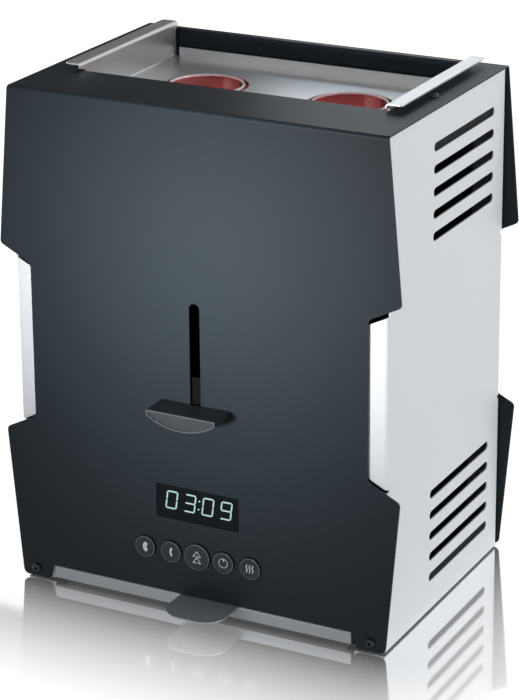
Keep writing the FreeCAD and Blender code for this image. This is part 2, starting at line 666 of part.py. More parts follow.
# ---------------------------------------------------------------- chassis
def build_base():
    outline = rectangle(-INNER_X, INNER_X, PLATE_FRONT, PLATE_REAR, PLATE_CORNER)
    plate = prism_z(outline, BASE_Z, BASE_TOP)
    y0 = PLATE_FRONT + CORNER_GAP
    y1 = PLATE_REAR - CORNER_GAP
    left = box(-INNER_X, PLATE - INNER_X, y0, y1, BASE_Z, BASE_TOP + DECK_FLANGE)
    crumb_x = PAN_X - CRUMB_SIDE_MARGIN
    opening = rectangle(-crumb_x, crumb_x, -CRUMB_Y, CRUMB_Y, CRUMB_CORNER)
    plate = plate.fuse([left, mirror_x(left)]).cut(prism_z(opening, BASE_Z - OVERCUT, BASE_TOP + OVERCUT))
    save("base_plate", plate.removeSplitter())
    lip_top = PAN_Z - EASY_GAP
    lip = box(PAN_X - RUNNER_LIP, LEG_X + PLATE, PLATE_FRONT, PAN_REAR, lip_top - PLATE, lip_top)
    web = box(LEG_X, LEG_X + PLATE, PLATE_FRONT, PAN_REAR, lip_top - PLATE, BASE_Z)
    top = box(LEG_X, LEG_X + PLATE + RUNNER_FLANGE, PLATE_FRONT, PAN_REAR, BASE_Z - PLATE, BASE_Z)
    runner = fuse([lip, web, top])
    save("tray_runner_right", runner)
    save("tray_runner_left", mirror_x(runner))


def deck(front, top, hole_radius):
    """Cross plate with folded sides and one hole under each tube."""
    left = box(-INNER_X, PLATE - INNER_X, front, DECK_REAR, top - PLATE - DECK_FLANGE, top)
    plate = box(-INNER_X, INNER_X, front, DECK_REAR, top - PLATE, top)
    holes = [rod(hole_radius, (x, 0, top - OVERCUT), (x, 0, top + OVERCUT)) for x in (-TUBE_X, TUBE_X)]
    return plate.fuse([left, mirror_x(left)]).cut(holes).removeSplitter()


def build_decks():
    seat_bore = TUBE_OUTER / 2 - SEAT_LEDGE
    save("lower_deck", deck(LOWER_FRONT, LOWER_TOP, seat_bore))
    save("upper_deck", deck(UPPER_FRONT, UPPER_TOP, TRAY_HOLE))
    for name, x in (("tube_seat_left", -TUBE_X), ("tube_seat_right", TUBE_X)):
        bore = TUBE_OUTER / 2 + SEAT_CLEAR
        floor = ring(bore + SEAT_WALL, seat_bore, (x, 0, LOWER_TOP), (x, 0, LOWER_TOP + SEAT_STEP))
        wall = ring(bore + SEAT_WALL, bore, (x, 0, LOWER_TOP), (x, 0, LOWER_TOP + SEAT_HEIGHT))
        save(name, fuse([floor, wall]))


def heater_cap(x, y, z, outward):
    """Ceramic end cap against a deck at height z, with its socket facing away from the deck."""
    cap = rod(HEATER_CAP / 2, (x, y, z), (x, y, z + outward * HEATER_CAP_HEIGHT))
    mouth = z + outward * (HEATER_CAP_HEIGHT - HEATER_SOCKET)
    return cap.cut(rod(HEATER_DIAMETER / 2 + FIT, (x, y, mouth), (x, y, z + outward * HEATER_CAP_HEIGHT)))


def build_heaters():
    caps = []
    coils = []
    z0 = LOWER_TOP + HEATER_CAP_HEIGHT - HEATER_SOCKET
    z1 = UPPER_Z - HEATER_CAP_HEIGHT + HEATER_SOCKET
    for side, tube_x in (("left", -TUBE_X), ("right", TUBE_X)):
        reflector = ring(REFLECTOR_OUTER, REFLECTOR_INNER, (tube_x, 0, LOWER_TOP), (tube_x, 0, UPPER_Z))
        save("reflector_" + side, reflector)
        quartz = []
        for i in range(HEATER_COUNT):
            angle = 2 * math.pi * i / HEATER_COUNT
            x = tube_x + HEATER_RING * math.cos(angle)
            y = HEATER_RING * math.sin(angle)
            bore = HEATER_DIAMETER / 2 - HEATER_WALL
            quartz.append(ring(HEATER_DIAMETER / 2, bore, (x, y, z0), (x, y, z1)))
            coils.append(rod(HEATER_COIL / 2, (x, y, z0), (x, y, z1)))
            caps.append(heater_cap(x, y, LOWER_TOP, 1))
            caps.append(heater_cap(x, y, UPPER_Z, -1))
        save("heater_tubes_" + side, *quartz)
    save("heater_coils", *coils)
    save("heater_end_caps", *caps)


def build_shield():
    half = INNER_X - PLATE - FIT
    save("heat_shield", box(-half, half, SHIELD_Y, SHIELD_Y + SHIELD_SHEET, LOWER_TOP, UPPER_Z))
    z = SPRING_SHELF_Z
    shelf = box(-CARRIAGE_X, CARRIAGE_X, CARRIAGE_FRONT, SHIELD_Y, z, z + PLATE)
    back = box(-CARRIAGE_X, CARRIAGE_X, SHIELD_Y - PLATE, SHIELD_Y, z, z + DECK_FLANGE)
    gap = box(-ARM_WIDTH, ARM_WIDTH, CARRIAGE_FRONT - OVERCUT, ARM_Y + ARM_SHEET + CARRIAGE_MARGIN,
              z - OVERCUT, z + OVERCUT)
    save("spring_bracket", fuse([shelf, back]).cut(gap))
    z = LOWER_TOP + CUTOUT_RISE
    radius = CUTOUT_DIAMETER / 2
    disc = rod(radius, (CUTOUT_X, SHIELD_Y - CUTOUT_DEPTH, z), (CUTOUT_X, SHIELD_Y, z))
    ears = box(CUTOUT_X - radius - CUTOUT_EAR, CUTOUT_X + radius + CUTOUT_EAR, SHIELD_Y - PLATE, SHIELD_Y,
               z - CUTOUT_EAR, z + CUTOUT_EAR)
    save("thermal_cutout", fuse([disc, ears]))


# ---------------------------------------------------------------- lift mechanism
def build_guides():
    rods = []
    bushes = []
    bush_holes = []
    z0 = CARRIAGE_Z - BUSH_BELOW
    z1 = CARRIAGE_TOP + BUSH_ABOVE
    for x in (-ROD_SPACING / 2, ROD_SPACING / 2):
        rods.append(rod(ROD_DIAMETER / 2, (x, ROD_Y, BASE_TOP), (x, ROD_Y, LOWER_Z)))
        bushes.append(ring(BUSH_DIAMETER / 2, ROD_DIAMETER / 2 + ROD_CLEAR, (x, ROD_Y, z0), (x, ROD_Y, z1)))
        bush_holes.append(rod(BUSH_DIAMETER / 2, (x, ROD_Y, z0), (x, ROD_Y, z1)))
    save("guide_rods", *rods)
    save("guide_bushes", *bushes)
    return bush_holes


def build_carriage(bush_holes):
    """Carriage with its rivets, armature and holding magnet; returns the rivet holes."""
    rear = ROD_Y + BUSH_DIAMETER / 2 + CARRIAGE_MARGIN
    bar = rectangle(-CARRIAGE_X, CARRIAGE_X, CARRIAGE_FRONT, rear, CARRIAGE_CORNER)
    half_bar = CARRIAGE_BAR / 2
    tube_bar = rectangle(-TUBE_X - half_bar, TUBE_X + half_bar, -half_bar, half_bar, CARRIAGE_CORNER)
    stem = box(-CARRIAGE_STEM / 2, CARRIAGE_STEM / 2, ROD_Y, 0, CARRIAGE_Z, CARRIAGE_TOP)
    plates = [prism_z(outline, CARRIAGE_Z, CARRIAGE_TOP) for outline in (bar, tube_bar)]
    rivets = []
    rivet_holes = []
    rivet_y = ARM_Y + (ARM_FOOT + ARM_SHEET) / 2
    foot_top = CARRIAGE_TOP + ARM_SHEET
    for x in (-ARM_WIDTH / 4, ARM_WIDTH / 4):
        shank = rod(RIVET_DIAMETER / 2, (x, rivet_y, CARRIAGE_Z), (x, rivet_y, foot_top))
        head = rod(RIVET_DIAMETER, (x, rivet_y, foot_top), (x, rivet_y, foot_top + RIVET_HEAD))
        rivets.append(fuse([shank, head]))
        rivet_holes.append(rod(RIVET_DIAMETER / 2 + FIT, (x, rivet_y, CARRIAGE_Z), (x, rivet_y, foot_top)))
    save("lift_carriage", fuse(plates + [stem]).cut(bush_holes + rivet_holes))
    save("lever_rivets", *rivets)
    save("armature_plate", rod(MAGNET_DIAMETER / 2, (0, ROD_Y, ARMATURE_Z), (0, ROD_Y, CARRIAGE_Z)))
    foot = (0, ROD_Y, BASE_TOP)
    coil_end = (0, ROD_Y, MAGNET_TOP - MAGNET_POLE)
    save("magnet_core", rod(MAGNET_CORE / 2, foot, (0, ROD_Y, MAGNET_TOP)))
    save("magnet_coil", ring(MAGNET_DIAMETER / 2, MAGNET_CORE / 2, foot, coil_end))
    return rivet_holes


def build_lever(rivet_holes):
    half = ARM_WIDTH / 2
    half_neck = NECK_WIDTH / 2
    knob_back = FRONT - KNOB_GAP
    neck_end = knob_back - NECK_ROOT
    upright = box(-half, half, ARM_Y, ARM_Y + ARM_SHEET, CARRIAGE_TOP, ARM_TOP)
    foot = box(-half, half, ARM_Y, ARM_Y + ARM_FOOT, CARRIAGE_TOP, CARRIAGE_TOP + ARM_SHEET)
    neck = box(-half_neck, half_neck, neck_end, ARM_Y + ARM_SHEET, NECK_Z, NECK_Z + NECK_HEIGHT)
    shutter_y = HOOD_INSIDE + SHUTTER_GAP
    shutter = box(-SHUTTER_WIDTH / 2, SHUTTER_WIDTH / 2, shutter_y, shutter_y + ARM_SHEET,
                  NECK_Z - SHUTTER_DROP, ARM_TOP)
    save("lever_arm", fuse([upright, foot, neck, shutter]).cut(rivet_holes))
    knob = knob_section(0).extrude(V(0, KNOB_DEPTH, 0))
    knob = knob.cut(knob_section(KNOB_RIM).extrude(V(0, KNOB_RIM_DEPTH, 0)))
    knob.translate(V(0, knob_back - KNOB_DEPTH, 0))
    socket = box(-half_neck, half_neck, neck_end, knob_back + OVERCUT, NECK_Z, NECK_Z + NECK_HEIGHT)
    save("lever_knob", knob.cut(socket))


def knob_section(inset):
    """Flat top, short upright ends and a bowed underside, drawn in the XZ plane."""
    half = KNOB_WIDTH / 2 - inset
    top = KNOB_Z - inset
    end = KNOB_Z - KNOB_END_HEIGHT
    bottom = KNOB_Z - KNOB_HEIGHT + inset
    edges = [Part.LineSegment(V(-half, 0, end), V(-half, 0, top)).toShape(),
             Part.LineSegment(V(-half, 0, top), V(half, 0, top)).toShape(),
             Part.LineSegment(V(half, 0, top), V(half, 0, end)).toShape(),
             Part.Arc(V(half, 0, end), V(0, 0, bottom), V(-half, 0, end)).toShape()]
    return Part.Face(Part.Wire(edges))


def around(x, diameter, count, turn=0.0):
    """Points spaced evenly on a circle round the tube axis at x."""
    spots = []
    for i in range(count):
        angle = turn + 2 * math.pi * i / count
        spots.append((x + diameter / 2 * math.cos(angle), diameter / 2 * math.sin(angle)))
    return spots


def build_holders():
    cup_z = HOLDER_CUP_Z
    for name, x in (("sausage_holder_left", -TUBE_X), ("sausage_holder_right", TUBE_X)):
        cup = rod(HOLDER_CUP / 2, (x, 0, cup_z), (x, 0, cup_z + HOLDER_CUP_SHEET))
        pieces = [cup, rod(HOLDER_ROD / 2, (x, 0, CARRIAGE_TOP), (x, 0, cup_z))]
        for px, py in around(x, HOLDER_PRONG_RING, HOLDER_PRONG_COUNT, math.pi / 2):
            tip = cup_z + HOLDER_PRONG_HEIGHT
            pieces.append(rod(HOLDER_PRONG / 2, (px, py, cup_z), (px, py, tip)))
            pieces.append(Part.makeSphere(HOLDER_PRONG / 2, V(px, py, tip)))
        drains = []
        for dx, dy in around(x, HOLDER_DRAIN_RING, HOLDER_DRAIN_COUNT):
            drains.append(rod(HOLDER_DRAIN / 2, (dx, dy, cup_z - OVERCUT), (dx, dy, cup_z + OVERCUT)))
        save(name, fuse(pieces).cut(drains))


def build_springs():
    low = CARRIAGE_TOP + SPRING_WIRE / 2 + FIT
    high = SPRING_SHELF_Z - SPRING_WIRE / 2 - FIT
    pitch = (high - low) / round((high - low) / SPRING_PITCH)
    springs = []
    for x in (-SPRING_SPACING / 2, SPRING_SPACING / 2):
        helix = Part.makeHelix(pitch, high - low, SPRING_RADIUS)
        heading = V(0, 2 * math.pi * SPRING_RADIUS, pitch)
        section = Part.Wire(Part.makeCircle(SPRING_WIRE / 2, V(SPRING_RADIUS, 0, 0), heading))
        spring = Part.Wire(helix.Edges).makePipeShell([section], True, True)
        spring.translate(V(x, SPRING_Y, low))
        springs.append(spring)
    save("lift_springs", *springs)


# ---------------------------------------------------------------- glass tubes and trays
def build_tubes():
    outer = TUBE_OUTER / 2
    rims = (TUBE_BOTTOM, TUBE_TOP)
    for name, x in (("glass_tube_left", -TUBE_X), ("glass_tube_right", TUBE_X)):
        tube = ring(outer, outer - TUBE_WALL, (x, 0, TUBE_BOTTOM), (x, 0, TUBE_TOP))
        save(name, soften(tube, TUBE_EDGE, lambda middle: min(abs(middle.z - z) for z in rims) < FIT))


def tray_side_wall():
    """Right side wall with its bends and the grip flange, cut to shape from the side and above."""
    outer_bend = TRAY_INNER_BEND + TRAY_SHEET
    inner = TRAY_X - TRAY_SHEET
    root = TRAY_X - outer_bend - TRAY_LIP_GAP
    flange_x = TRAY_X + TRAY_FLANGE
    section = [(TRAY_X, FLOOR_Z, outer_bend), (TRAY_X, FLANGE_TOP - TRAY_SHEET, TRAY_INNER_BEND),
               (flange_x, FLANGE_TOP - TRAY_SHEET, 0), (flange_x, FLANGE_TOP, 0),
               (inner, FLANGE_TOP, outer_bend), (inner, FLOOR_TOP, TRAY_INNER_BEND),
               (root, FLOOR_TOP, 0), (root, FLOOR_Z, 0)]
    front = -TRAY_Y - TRAY_FLANGE_FRONT
    rear = TRAY_Y + TRAY_FLANGE_REAR
    wall_y = TRAY_Y - TRAY_WALL_SETBACK
    flare_z = FLANGE_TOP - TRAY_SHEET - TRAY_WALL_FLARE
    high = FLANGE_TOP + OVERCUT
    side_view = [(-wall_y, FLOOR_Z, 0), (wall_y, FLOOR_Z, 0), (wall_y, TOP_Z, 0), (rear, flare_z, 0),
                 (rear, high, 0), (front, high, 0), (front, flare_z, 0), (-wall_y, TOP_Z, 0)]
    top_view = [(root, front, 0), (flange_x, front, TRAY_CORNER),
                (flange_x, rear, TRAY_CORNER), (root, rear, 0)]
    wall = prism_y(section, front, rear).common(prism_x(side_view, root, flange_x))
    return wall.common(prism_z(top_view, FLOOR_Z, high))


def build_top_tray():
    """One folded tray, written as its two side walls and the two halves of its floor."""
    wall = tray_side_wall()
    save("tray_wall_right", wall)
    save("tray_wall_left", mirror_x(wall))
    root = TRAY_X - TRAY_INNER_BEND - TRAY_SHEET - TRAY_LIP_GAP
    pieces = [box(0, root, -TRAY_Y, TRAY_Y, FLOOR_Z, FLOOR_TOP)]
    for y in (-TRAY_Y, TRAY_Y - TRAY_SHEET):
        pieces.append(box(0, root, y, y + TRAY_SHEET, FLOOR_Z, FLOOR_TOP + TRAY_LIP))
    hole = rod(TRAY_HOLE, (TUBE_X, 0, FLOOR_Z - OVERCUT), (TUBE_X, 0, FLOOR_TOP + OVERCUT))
    floor = fuse(pieces).cut(hole)
    save("tray_floor_right", floor)
    save("tray_floor_left", mirror_x(floor))


def build_crumb_tray():
    front = FRONT + PAN_FACE_CLEAR
    floor_top = PAN_Z + PAN_SHEET
    roll_y = front + PAN_ROLL
    roll_z = PAN_TOP - PAN_ROLL
    wall_top = PAN_Z + PAN_SIDE_HEIGHT
    side = box(PAN_X - PAN_SHEET, PAN_X, front, PAN_REAR, PAN_Z, wall_top)
    pieces = [box(-PAN_X, PAN_X, front, PAN_REAR, PAN_Z, floor_top),
              box(-PAN_X, PAN_X, front, front + PAN_SHEET, PAN_Z, roll_z),
              rod(PAN_ROLL, (-PAN_X, roll_y, roll_z), (PAN_X, roll_y, roll_z)),
              box(-PAN_X, PAN_X, PAN_REAR - PAN_SHEET, PAN_REAR, PAN_Z, wall_top),
              side, mirror_x(side)]
    tip = FRONT - PULL_REACH
    x0 = PULL_OFFSET - PULL_WIDTH / 2
    x1 = PULL_OFFSET + PULL_WIDTH / 2
    outline = [(x0, roll_y, 0), (x0, tip, PULL_CORNER), (x1, tip, PULL_CORNER), (x1, roll_y, 0)]
    pieces.append(prism_z(outline, PAN_TOP - PAN_SHEET, PAN_TOP))
    save("crumb_tray", fuse(pieces))


# ---------------------------------------------------------------- controls
def build_display():
    half_x = WINDOW_WIDTH / 2 - PANE_CLEAR
    half_z = WINDOW_HEIGHT / 2 - PANE_CLEAR
    lip_x = half_x + PANE_LIP
    lip_z = half_z + PANE_LIP
    back = HOOD_INSIDE + PANE_LIP_SHEET
    pane = box(-half_x, half_x, FRONT + PANE_RECESS, back, WINDOW_Z - half_z, WINDOW_Z + half_z)
    lip = box(-lip_x, lip_x, HOOD_INSIDE, back, WINDOW_Z - lip_z, WINDOW_Z + lip_z)
    save("display_window", fuse([pane, lip]))
    save("display_module", box(-half_x, half_x, back + FIT, BOARD_Y, WINDOW_Z - half_z, WINDOW_Z + half_z))


def build_buttons():
    rim_y = HOOD_INSIDE + BUTTON_RIM_GAP
    rim_end = rim_y + BUTTON_RIM_SHEET
    face_y = FRONT - BUTTON_PROUD
    switch_y = BOARD_Y - SWITCH_HEIGHT
    plunger_y = switch_y - PLUNGER_HEIGHT
    dish_y = face_y - BUTTON_DISH_RADIUS + BUTTON_DISH
    half = SWITCH_SIZE / 2
    switches = []
    for name, x, hole in button_places():
        cap = rod(hole - BUTTON_CLEAR, (x, face_y, BUTTON_Z), (x, rim_end, BUTTON_Z))
        cap = soften(cap, BUTTON_EDGE, lambda middle: abs(middle.y - face_y) < FIT)
        rim = rod(hole + BUTTON_RIM, (x, rim_y, BUTTON_Z), (x, rim_end, BUTTON_Z))
        stem = rod(BUTTON_STEM / 2, (x, rim_y, BUTTON_Z), (x, plunger_y - PLUNGER_GAP, BUTTON_Z))
        dish = Part.makeSphere(BUTTON_DISH_RADIUS, V(x, dish_y, BUTTON_Z))
        save(name, fuse([cap, rim, stem]).cut(dish))
        body = box(x - half, x + half, switch_y, BOARD_Y, BUTTON_Z - half, BUTTON_Z + half)
        plunger = rod(PLUNGER_DIAMETER / 2, (x, plunger_y, BUTTON_Z), (x, BOARD_Y, BUTTON_Z))
        switches.append(fuse([body, plunger]))
    save("tact_switches", *switches)


def build_carrier():
    front = HOOD_INSIDE + 2 * BUTTON_RIM_GAP + BUTTON_RIM_SHEET + BUTTON_TRAVEL
    back = front + CARRIER_SHEET
    half_x = BUTTON_SPAN + CARRIER_MARGIN
    half_z = CARRIER_HEIGHT / 2
    pieces = [box(-half_x, half_x, front, back, BUTTON_Z - half_z, BUTTON_Z + half_z)]
    for x in (CARRIER_POST_INSET - half_x, half_x - CARRIER_POST_INSET):
        for rise in (CARRIER_POST_INSET - half_z, half_z - CARRIER_POST_INSET):
            z = BUTTON_Z + rise
            pieces.append(rod(CARRIER_POST / 2, (x, front, z), (x, BOARD_Y, z)))
    radius = BUTTON_STEM / 2 + BUTTON_STEM_CLEAR
    holes = [rod(radius, (x, front, BUTTON_Z), (x, back, BUTTON_Z)) for name, x, hole in button_places()]
    save("button_carrier", fuse(pieces).cut(holes))


def build_boards():
    half = BUTTON_SPAN + BOARD_SIDE_MARGIN
    save("control_board", box(-half, half, BOARD_Y, BOARD_Y + BOARD_SHEET, BOARD_Z0, BOARD_Z1))
    spacers = []
    for x in (SPACER_INSET - half, half - SPACER_INSET):
        for z in (BOARD_Z0 + SPACER_INSET, BOARD_Z1 - SPACER_INSET):
            spacers.append(rod(SPACER_DIAMETER / 2, (x, HOOD_INSIDE, z), (x, BOARD_Y, z)))
    x1 = INNER_X - WALL_ROOM
    x0 = x1 - POWER_WIDTH
    y0 = BOARD_Y + BOARD_SHEET + BOARD_GAP
    y1 = y0 + POWER_DEPTH
    z0 = BASE_TOP + POWER_STANDOFF
    z1 = z0 + BOARD_SHEET
    for x in (x0 + SPACER_INSET, x1 - SPACER_INSET):
        for y in (y0 + SPACER_INSET, y1 - SPACER_INSET):
            spacers.append(rod(SPACER_DIAMETER / 2, (x, y, BASE_TOP), (x, y, z0)))
    save("board_spacers", *spacers)
    save("power_board", box(x0, x1, y0, y1, z0, z1))
    relay_x = x0 + SPACER_INSET
    relay_y = y0 + SPACER_INSET
    save("relay", box(relay_x, relay_x + RELAY_WIDTH, relay_y, relay_y + RELAY_DEPTH, z1, z1 + RELAY_HEIGHT))
    radius = CAPACITOR_DIAMETER / 2
    x = x1 - SPACER_INSET - radius
    y = y1 - SPACER_INSET - radius
    save("capacitor", rod(radius, (x, y, z1), (x, y, z1 + CAPACITOR_HEIGHT)))


def build_electrics():
    x0 = WINDING_WIDTH + WALL_ROOM - INNER_X
    x1 = x0 + TRANSFORMER_WIDTH
    y0 = BOARD_Y + BOARD_SHEET + BOARD_GAP
    y1 = y0 + TRANSFORMER_DEPTH
    save("transformer_core", box(x0, x1, y0, y1, BASE_TOP, BASE_TOP + TRANSFORMER_HEIGHT))
    winding_y = (y0 + y1 - WINDING_DEPTH) / 2
    winding_z = BASE_TOP + (TRANSFORMER_HEIGHT - WINDING_HEIGHT) / 2
    halves = []
    for start in (x0 - WINDING_WIDTH, x1):
        halves.append(box(start, start + WINDING_WIDTH, winding_y, winding_y + WINDING_DEPTH,
                          winding_z, winding_z + WINDING_HEIGHT))
    save("transformer_winding", *halves)
    half = TERMINAL_WIDTH / 2
    block_y = REAR - SHEET - GLAND_KEEPER - FIT
    save("terminal_block", box(GLAND_X - half, GLAND_X + half, block_y - TERMINAL_DEPTH, block_y,
                               BASE_TOP, BASE_TOP + TERMINAL_HEIGHT))
    x0 = (ROD_SPACING + BUSH_DIAMETER) / 2
    y0 = CARRIAGE_FRONT
    body = box(x0, x0 + MICROSWITCH_WIDTH, y0, y0 + MICROSWITCH_DEPTH,
               BASE_TOP, BASE_TOP + MICROSWITCH_HEIGHT)
    x = SPRING_SPACING / 2
    y = y0 + MICROSWITCH_DEPTH / 2
    plunger = rod(MICROSWITCH_PLUNGER / 2, (x, y, BASE_TOP), (x, y, CARRIAGE_Z - MAGNET_GAP))
    save("start_microswitch", fuse([body, plunger]))


def build_gland():
    inside = REAR - SHEET
    outer = REAR + GLAND_REACH
    collar = rod(GLAND_DIAMETER / 2, (GLAND_X, REAR, GLAND_Z), (GLAND_X, outer, GLAND_Z))
    collar = soften(collar, GLAND_EDGE, lambda middle: abs(middle.y - outer) < FIT)
    neck = rod(GLAND_NECK / 2 - FIT, (GLAND_X, inside - GLAND_KEEPER, GLAND_Z), (GLAND_X, REAR, GLAND_Z))
    keeper = rod(GLAND_DIAMETER / 2, (GLAND_X, inside - GLAND_KEEPER, GLAND_Z), (GLAND_X, inside, GLAND_Z))
    bore = rod(GLAND_BORE / 2, (GLAND_X, inside - OVERCUT, GLAND_Z), (GLAND_X, outer, GLAND_Z))
    save("cord_gland", fuse([collar, neck, keeper]).cut(bore))


build_hood()
build_side_panels()
build_screws_and_feet()
build_base()
build_decks()
build_heaters()
build_shield()
rivet_cuts = build_carriage(build_guides())
build_lever(rivet_cuts)
build_holders()
build_springs()
build_tubes()
build_top_tray()
build_crumb_tray()
build_display()
build_buttons()
build_carrier()
build_boards()
build_electrics()
build_gland()
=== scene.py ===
# %% [markdown]
# # A hot dog toaster, dressed over its CAD frame
# The CAD part already holds every sheet, tube, screw and button at its true size. This lesson
# gives those nodes their finishes, and adds what is printed, inlaid or lit: the digits, the
# symbols on the buttons, and the rim and inlay of the lever's knob.

import json
import math

import bmesh
import bpy
from mathutils import Matrix, Vector


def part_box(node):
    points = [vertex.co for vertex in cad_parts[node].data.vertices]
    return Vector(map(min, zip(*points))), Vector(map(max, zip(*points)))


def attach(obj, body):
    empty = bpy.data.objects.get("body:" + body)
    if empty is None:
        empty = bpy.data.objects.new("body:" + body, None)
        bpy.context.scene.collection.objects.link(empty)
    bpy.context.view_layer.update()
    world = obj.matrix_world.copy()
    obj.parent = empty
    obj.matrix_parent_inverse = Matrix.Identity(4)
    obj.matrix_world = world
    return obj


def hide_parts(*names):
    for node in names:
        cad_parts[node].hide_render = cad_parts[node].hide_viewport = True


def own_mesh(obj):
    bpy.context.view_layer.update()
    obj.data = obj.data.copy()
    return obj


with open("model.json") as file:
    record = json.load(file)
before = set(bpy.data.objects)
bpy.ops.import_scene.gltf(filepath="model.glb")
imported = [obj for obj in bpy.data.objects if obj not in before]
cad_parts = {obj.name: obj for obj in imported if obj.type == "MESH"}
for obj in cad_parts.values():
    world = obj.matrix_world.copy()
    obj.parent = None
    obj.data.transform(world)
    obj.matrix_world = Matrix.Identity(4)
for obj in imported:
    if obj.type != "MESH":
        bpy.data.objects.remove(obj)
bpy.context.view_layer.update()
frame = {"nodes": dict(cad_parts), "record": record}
MM = 0.001


# %% [markdown]
# ## Small tools
# Sizes are thought of in millimetres, as on a drawing, and Blender works in metres. An operator
# acts on whatever is selected, so every step first clears the selection and then picks its own
# faces or points by where they are.

# %% Selecting
def mm(*values):
    return Vector([value * MM for value in values])


def only(piece):
    bpy.ops.object.select_all(action="DESELECT")
    piece.select_set(True)
    bpy.context.view_layer.objects.active = piece


def edit(piece, kind="VERT"):
    only(piece)
    bpy.ops.object.mode_set(mode="EDIT")
    bpy.ops.mesh.select_mode(type=kind)


def leave_edit():
    bpy.ops.object.mode_set(mode="OBJECT")


def pick(piece, test):
    """In edit mode, select the points whose place in millimetres passes the test."""
    bpy.ops.mesh.select_all(action="DESELECT")
    shape = bmesh.from_edit_mesh(piece.data)
    for point in shape.verts:
        point.select = bool(test(point.co / MM))
    shape.select_flush(True)
    bmesh.update_edit_mesh(piece.data)


# %% [markdown]
# A new primitive gets its name at once. What repeats is copied, each copy with its own mesh, and
# the pieces of one part are joined.

# %% Naming, copying and joining
def named(name):
    piece = bpy.context.object
    piece.name = name
    piece.data.name = name
    return piece


def copy_of(piece, name):
    twin = piece.copy()
    twin.data = piece.data.copy()
    twin.name = name
    bpy.context.collection.objects.link(twin)
    return twin


def joined(pieces, name):
    only(pieces[0])
    for piece in pieces:
        piece.select_set(True)
    if len(pieces) > 1:
        bpy.ops.object.join()
    return named(name)


# %% [markdown]
# A finished piece sits at the origin with its place in its mesh, its modifiers are applied, and its
# faces point outwards.

# %% Placing and finishing a mesh
def apply_place(piece):
    only(piece)
    bpy.ops.object.transform_apply(location=True, rotation=True, scale=True)


def modified(piece, kind, **settings):
    only(piece)
    modifier = piece.modifiers.new(kind.title(), kind)
    for key, value in settings.items():
        setattr(modifier, key, value)
    bpy.ops.object.modifier_apply(modifier=modifier.name)


def face_front(piece, x, y, z):
    """Stand a piece drawn flat on the floor upright, facing the front, at x, y, z in mm."""
    piece.rotation_euler = (math.radians(90), 0, 0)
    piece.location = mm(x, y, z)
    apply_place(piece)


def outward(piece):
    edit(piece)
    bpy.ops.mesh.select_all(action="SELECT")
    bpy.ops.mesh.remove_doubles(threshold=0.002 * MM)
    bpy.ops.mesh.normals_make_consistent(inside=False)
    leave_edit()


# %% [markdown]
# ## The camera
# A long lens from the right and above, so that the front, one side and the sunken top tray are
# seen together. The turn is built from the looking direction, which is easier to check than
# three angles.

# %% Camera
CAMERA_SPOT = mm(680.5, -1292.8, 694.1)
CAMERA_YAW = math.radians(27.603)
CAMERA_PITCH = math.radians(17.975)
CAMERA_ROLL = math.radians(-0.451)
LENS = 137.96
SENSOR_WIDTH = 36
SHIFT = -0.19
TOASTER_MIDDLE = mm(0, 0, 150)
forward = Vector((-math.sin(CAMERA_YAW) * math.cos(CAMERA_PITCH),
                  math.cos(CAMERA_YAW) * math.cos(CAMERA_PITCH), -math.sin(CAMERA_PITCH)))
level = Vector((math.cos(CAMERA_YAW), math.sin(CAMERA_YAW), 0))
rising = level.cross(forward)
right = level * math.cos(CAMERA_ROLL) + rising * math.sin(CAMERA_ROLL)
up = rising * math.cos(CAMERA_ROLL) - level * math.sin(CAMERA_ROLL)
bpy.ops.object.camera_add()
camera = bpy.context.object
turn = Matrix((right, up, -forward)).transposed().to_4x4()
camera.matrix_world = Matrix.Translation(CAMERA_SPOT) @ turn
camera.data.lens = LENS
camera.data.sensor_width = SENSOR_WIDTH
camera.data.shift_y = SHIFT
bpy.context.scene.camera = camera
bpy.context.scene.view_settings.view_transform = "Standard"
print("camera is", round((CAMERA_SPOT - TOASTER_MIDDLE).length, 2), "m away")


# %% [markdown]
# ## Building a finish
# Every finish is one Principled shader with a fine pattern read from Object coordinates, so it
# stays put when a body moves. `grain` is the size of the pattern in millimetres along x, y and
# z: equal sizes give powder coat or moulded plastic, and one long size gives brushed metal.

# %% Finish helper
def link(owner, out, into):
    owner.node_tree.links.new(out, into)


def math_node(owner, kind, first, second=None):
    """A Math node in a material or the world. Each input is a number or another node's output."""
    node = owner.node_tree.nodes.new("ShaderNodeMath")
    node.operation = kind
    for socket, value in zip(node.inputs, (first, second)):
        if value is None:
            continue
        if isinstance(value, (int, float)):
            socket.default_value = value
        else:
            link(owner, value, socket)
    return node.outputs[0]


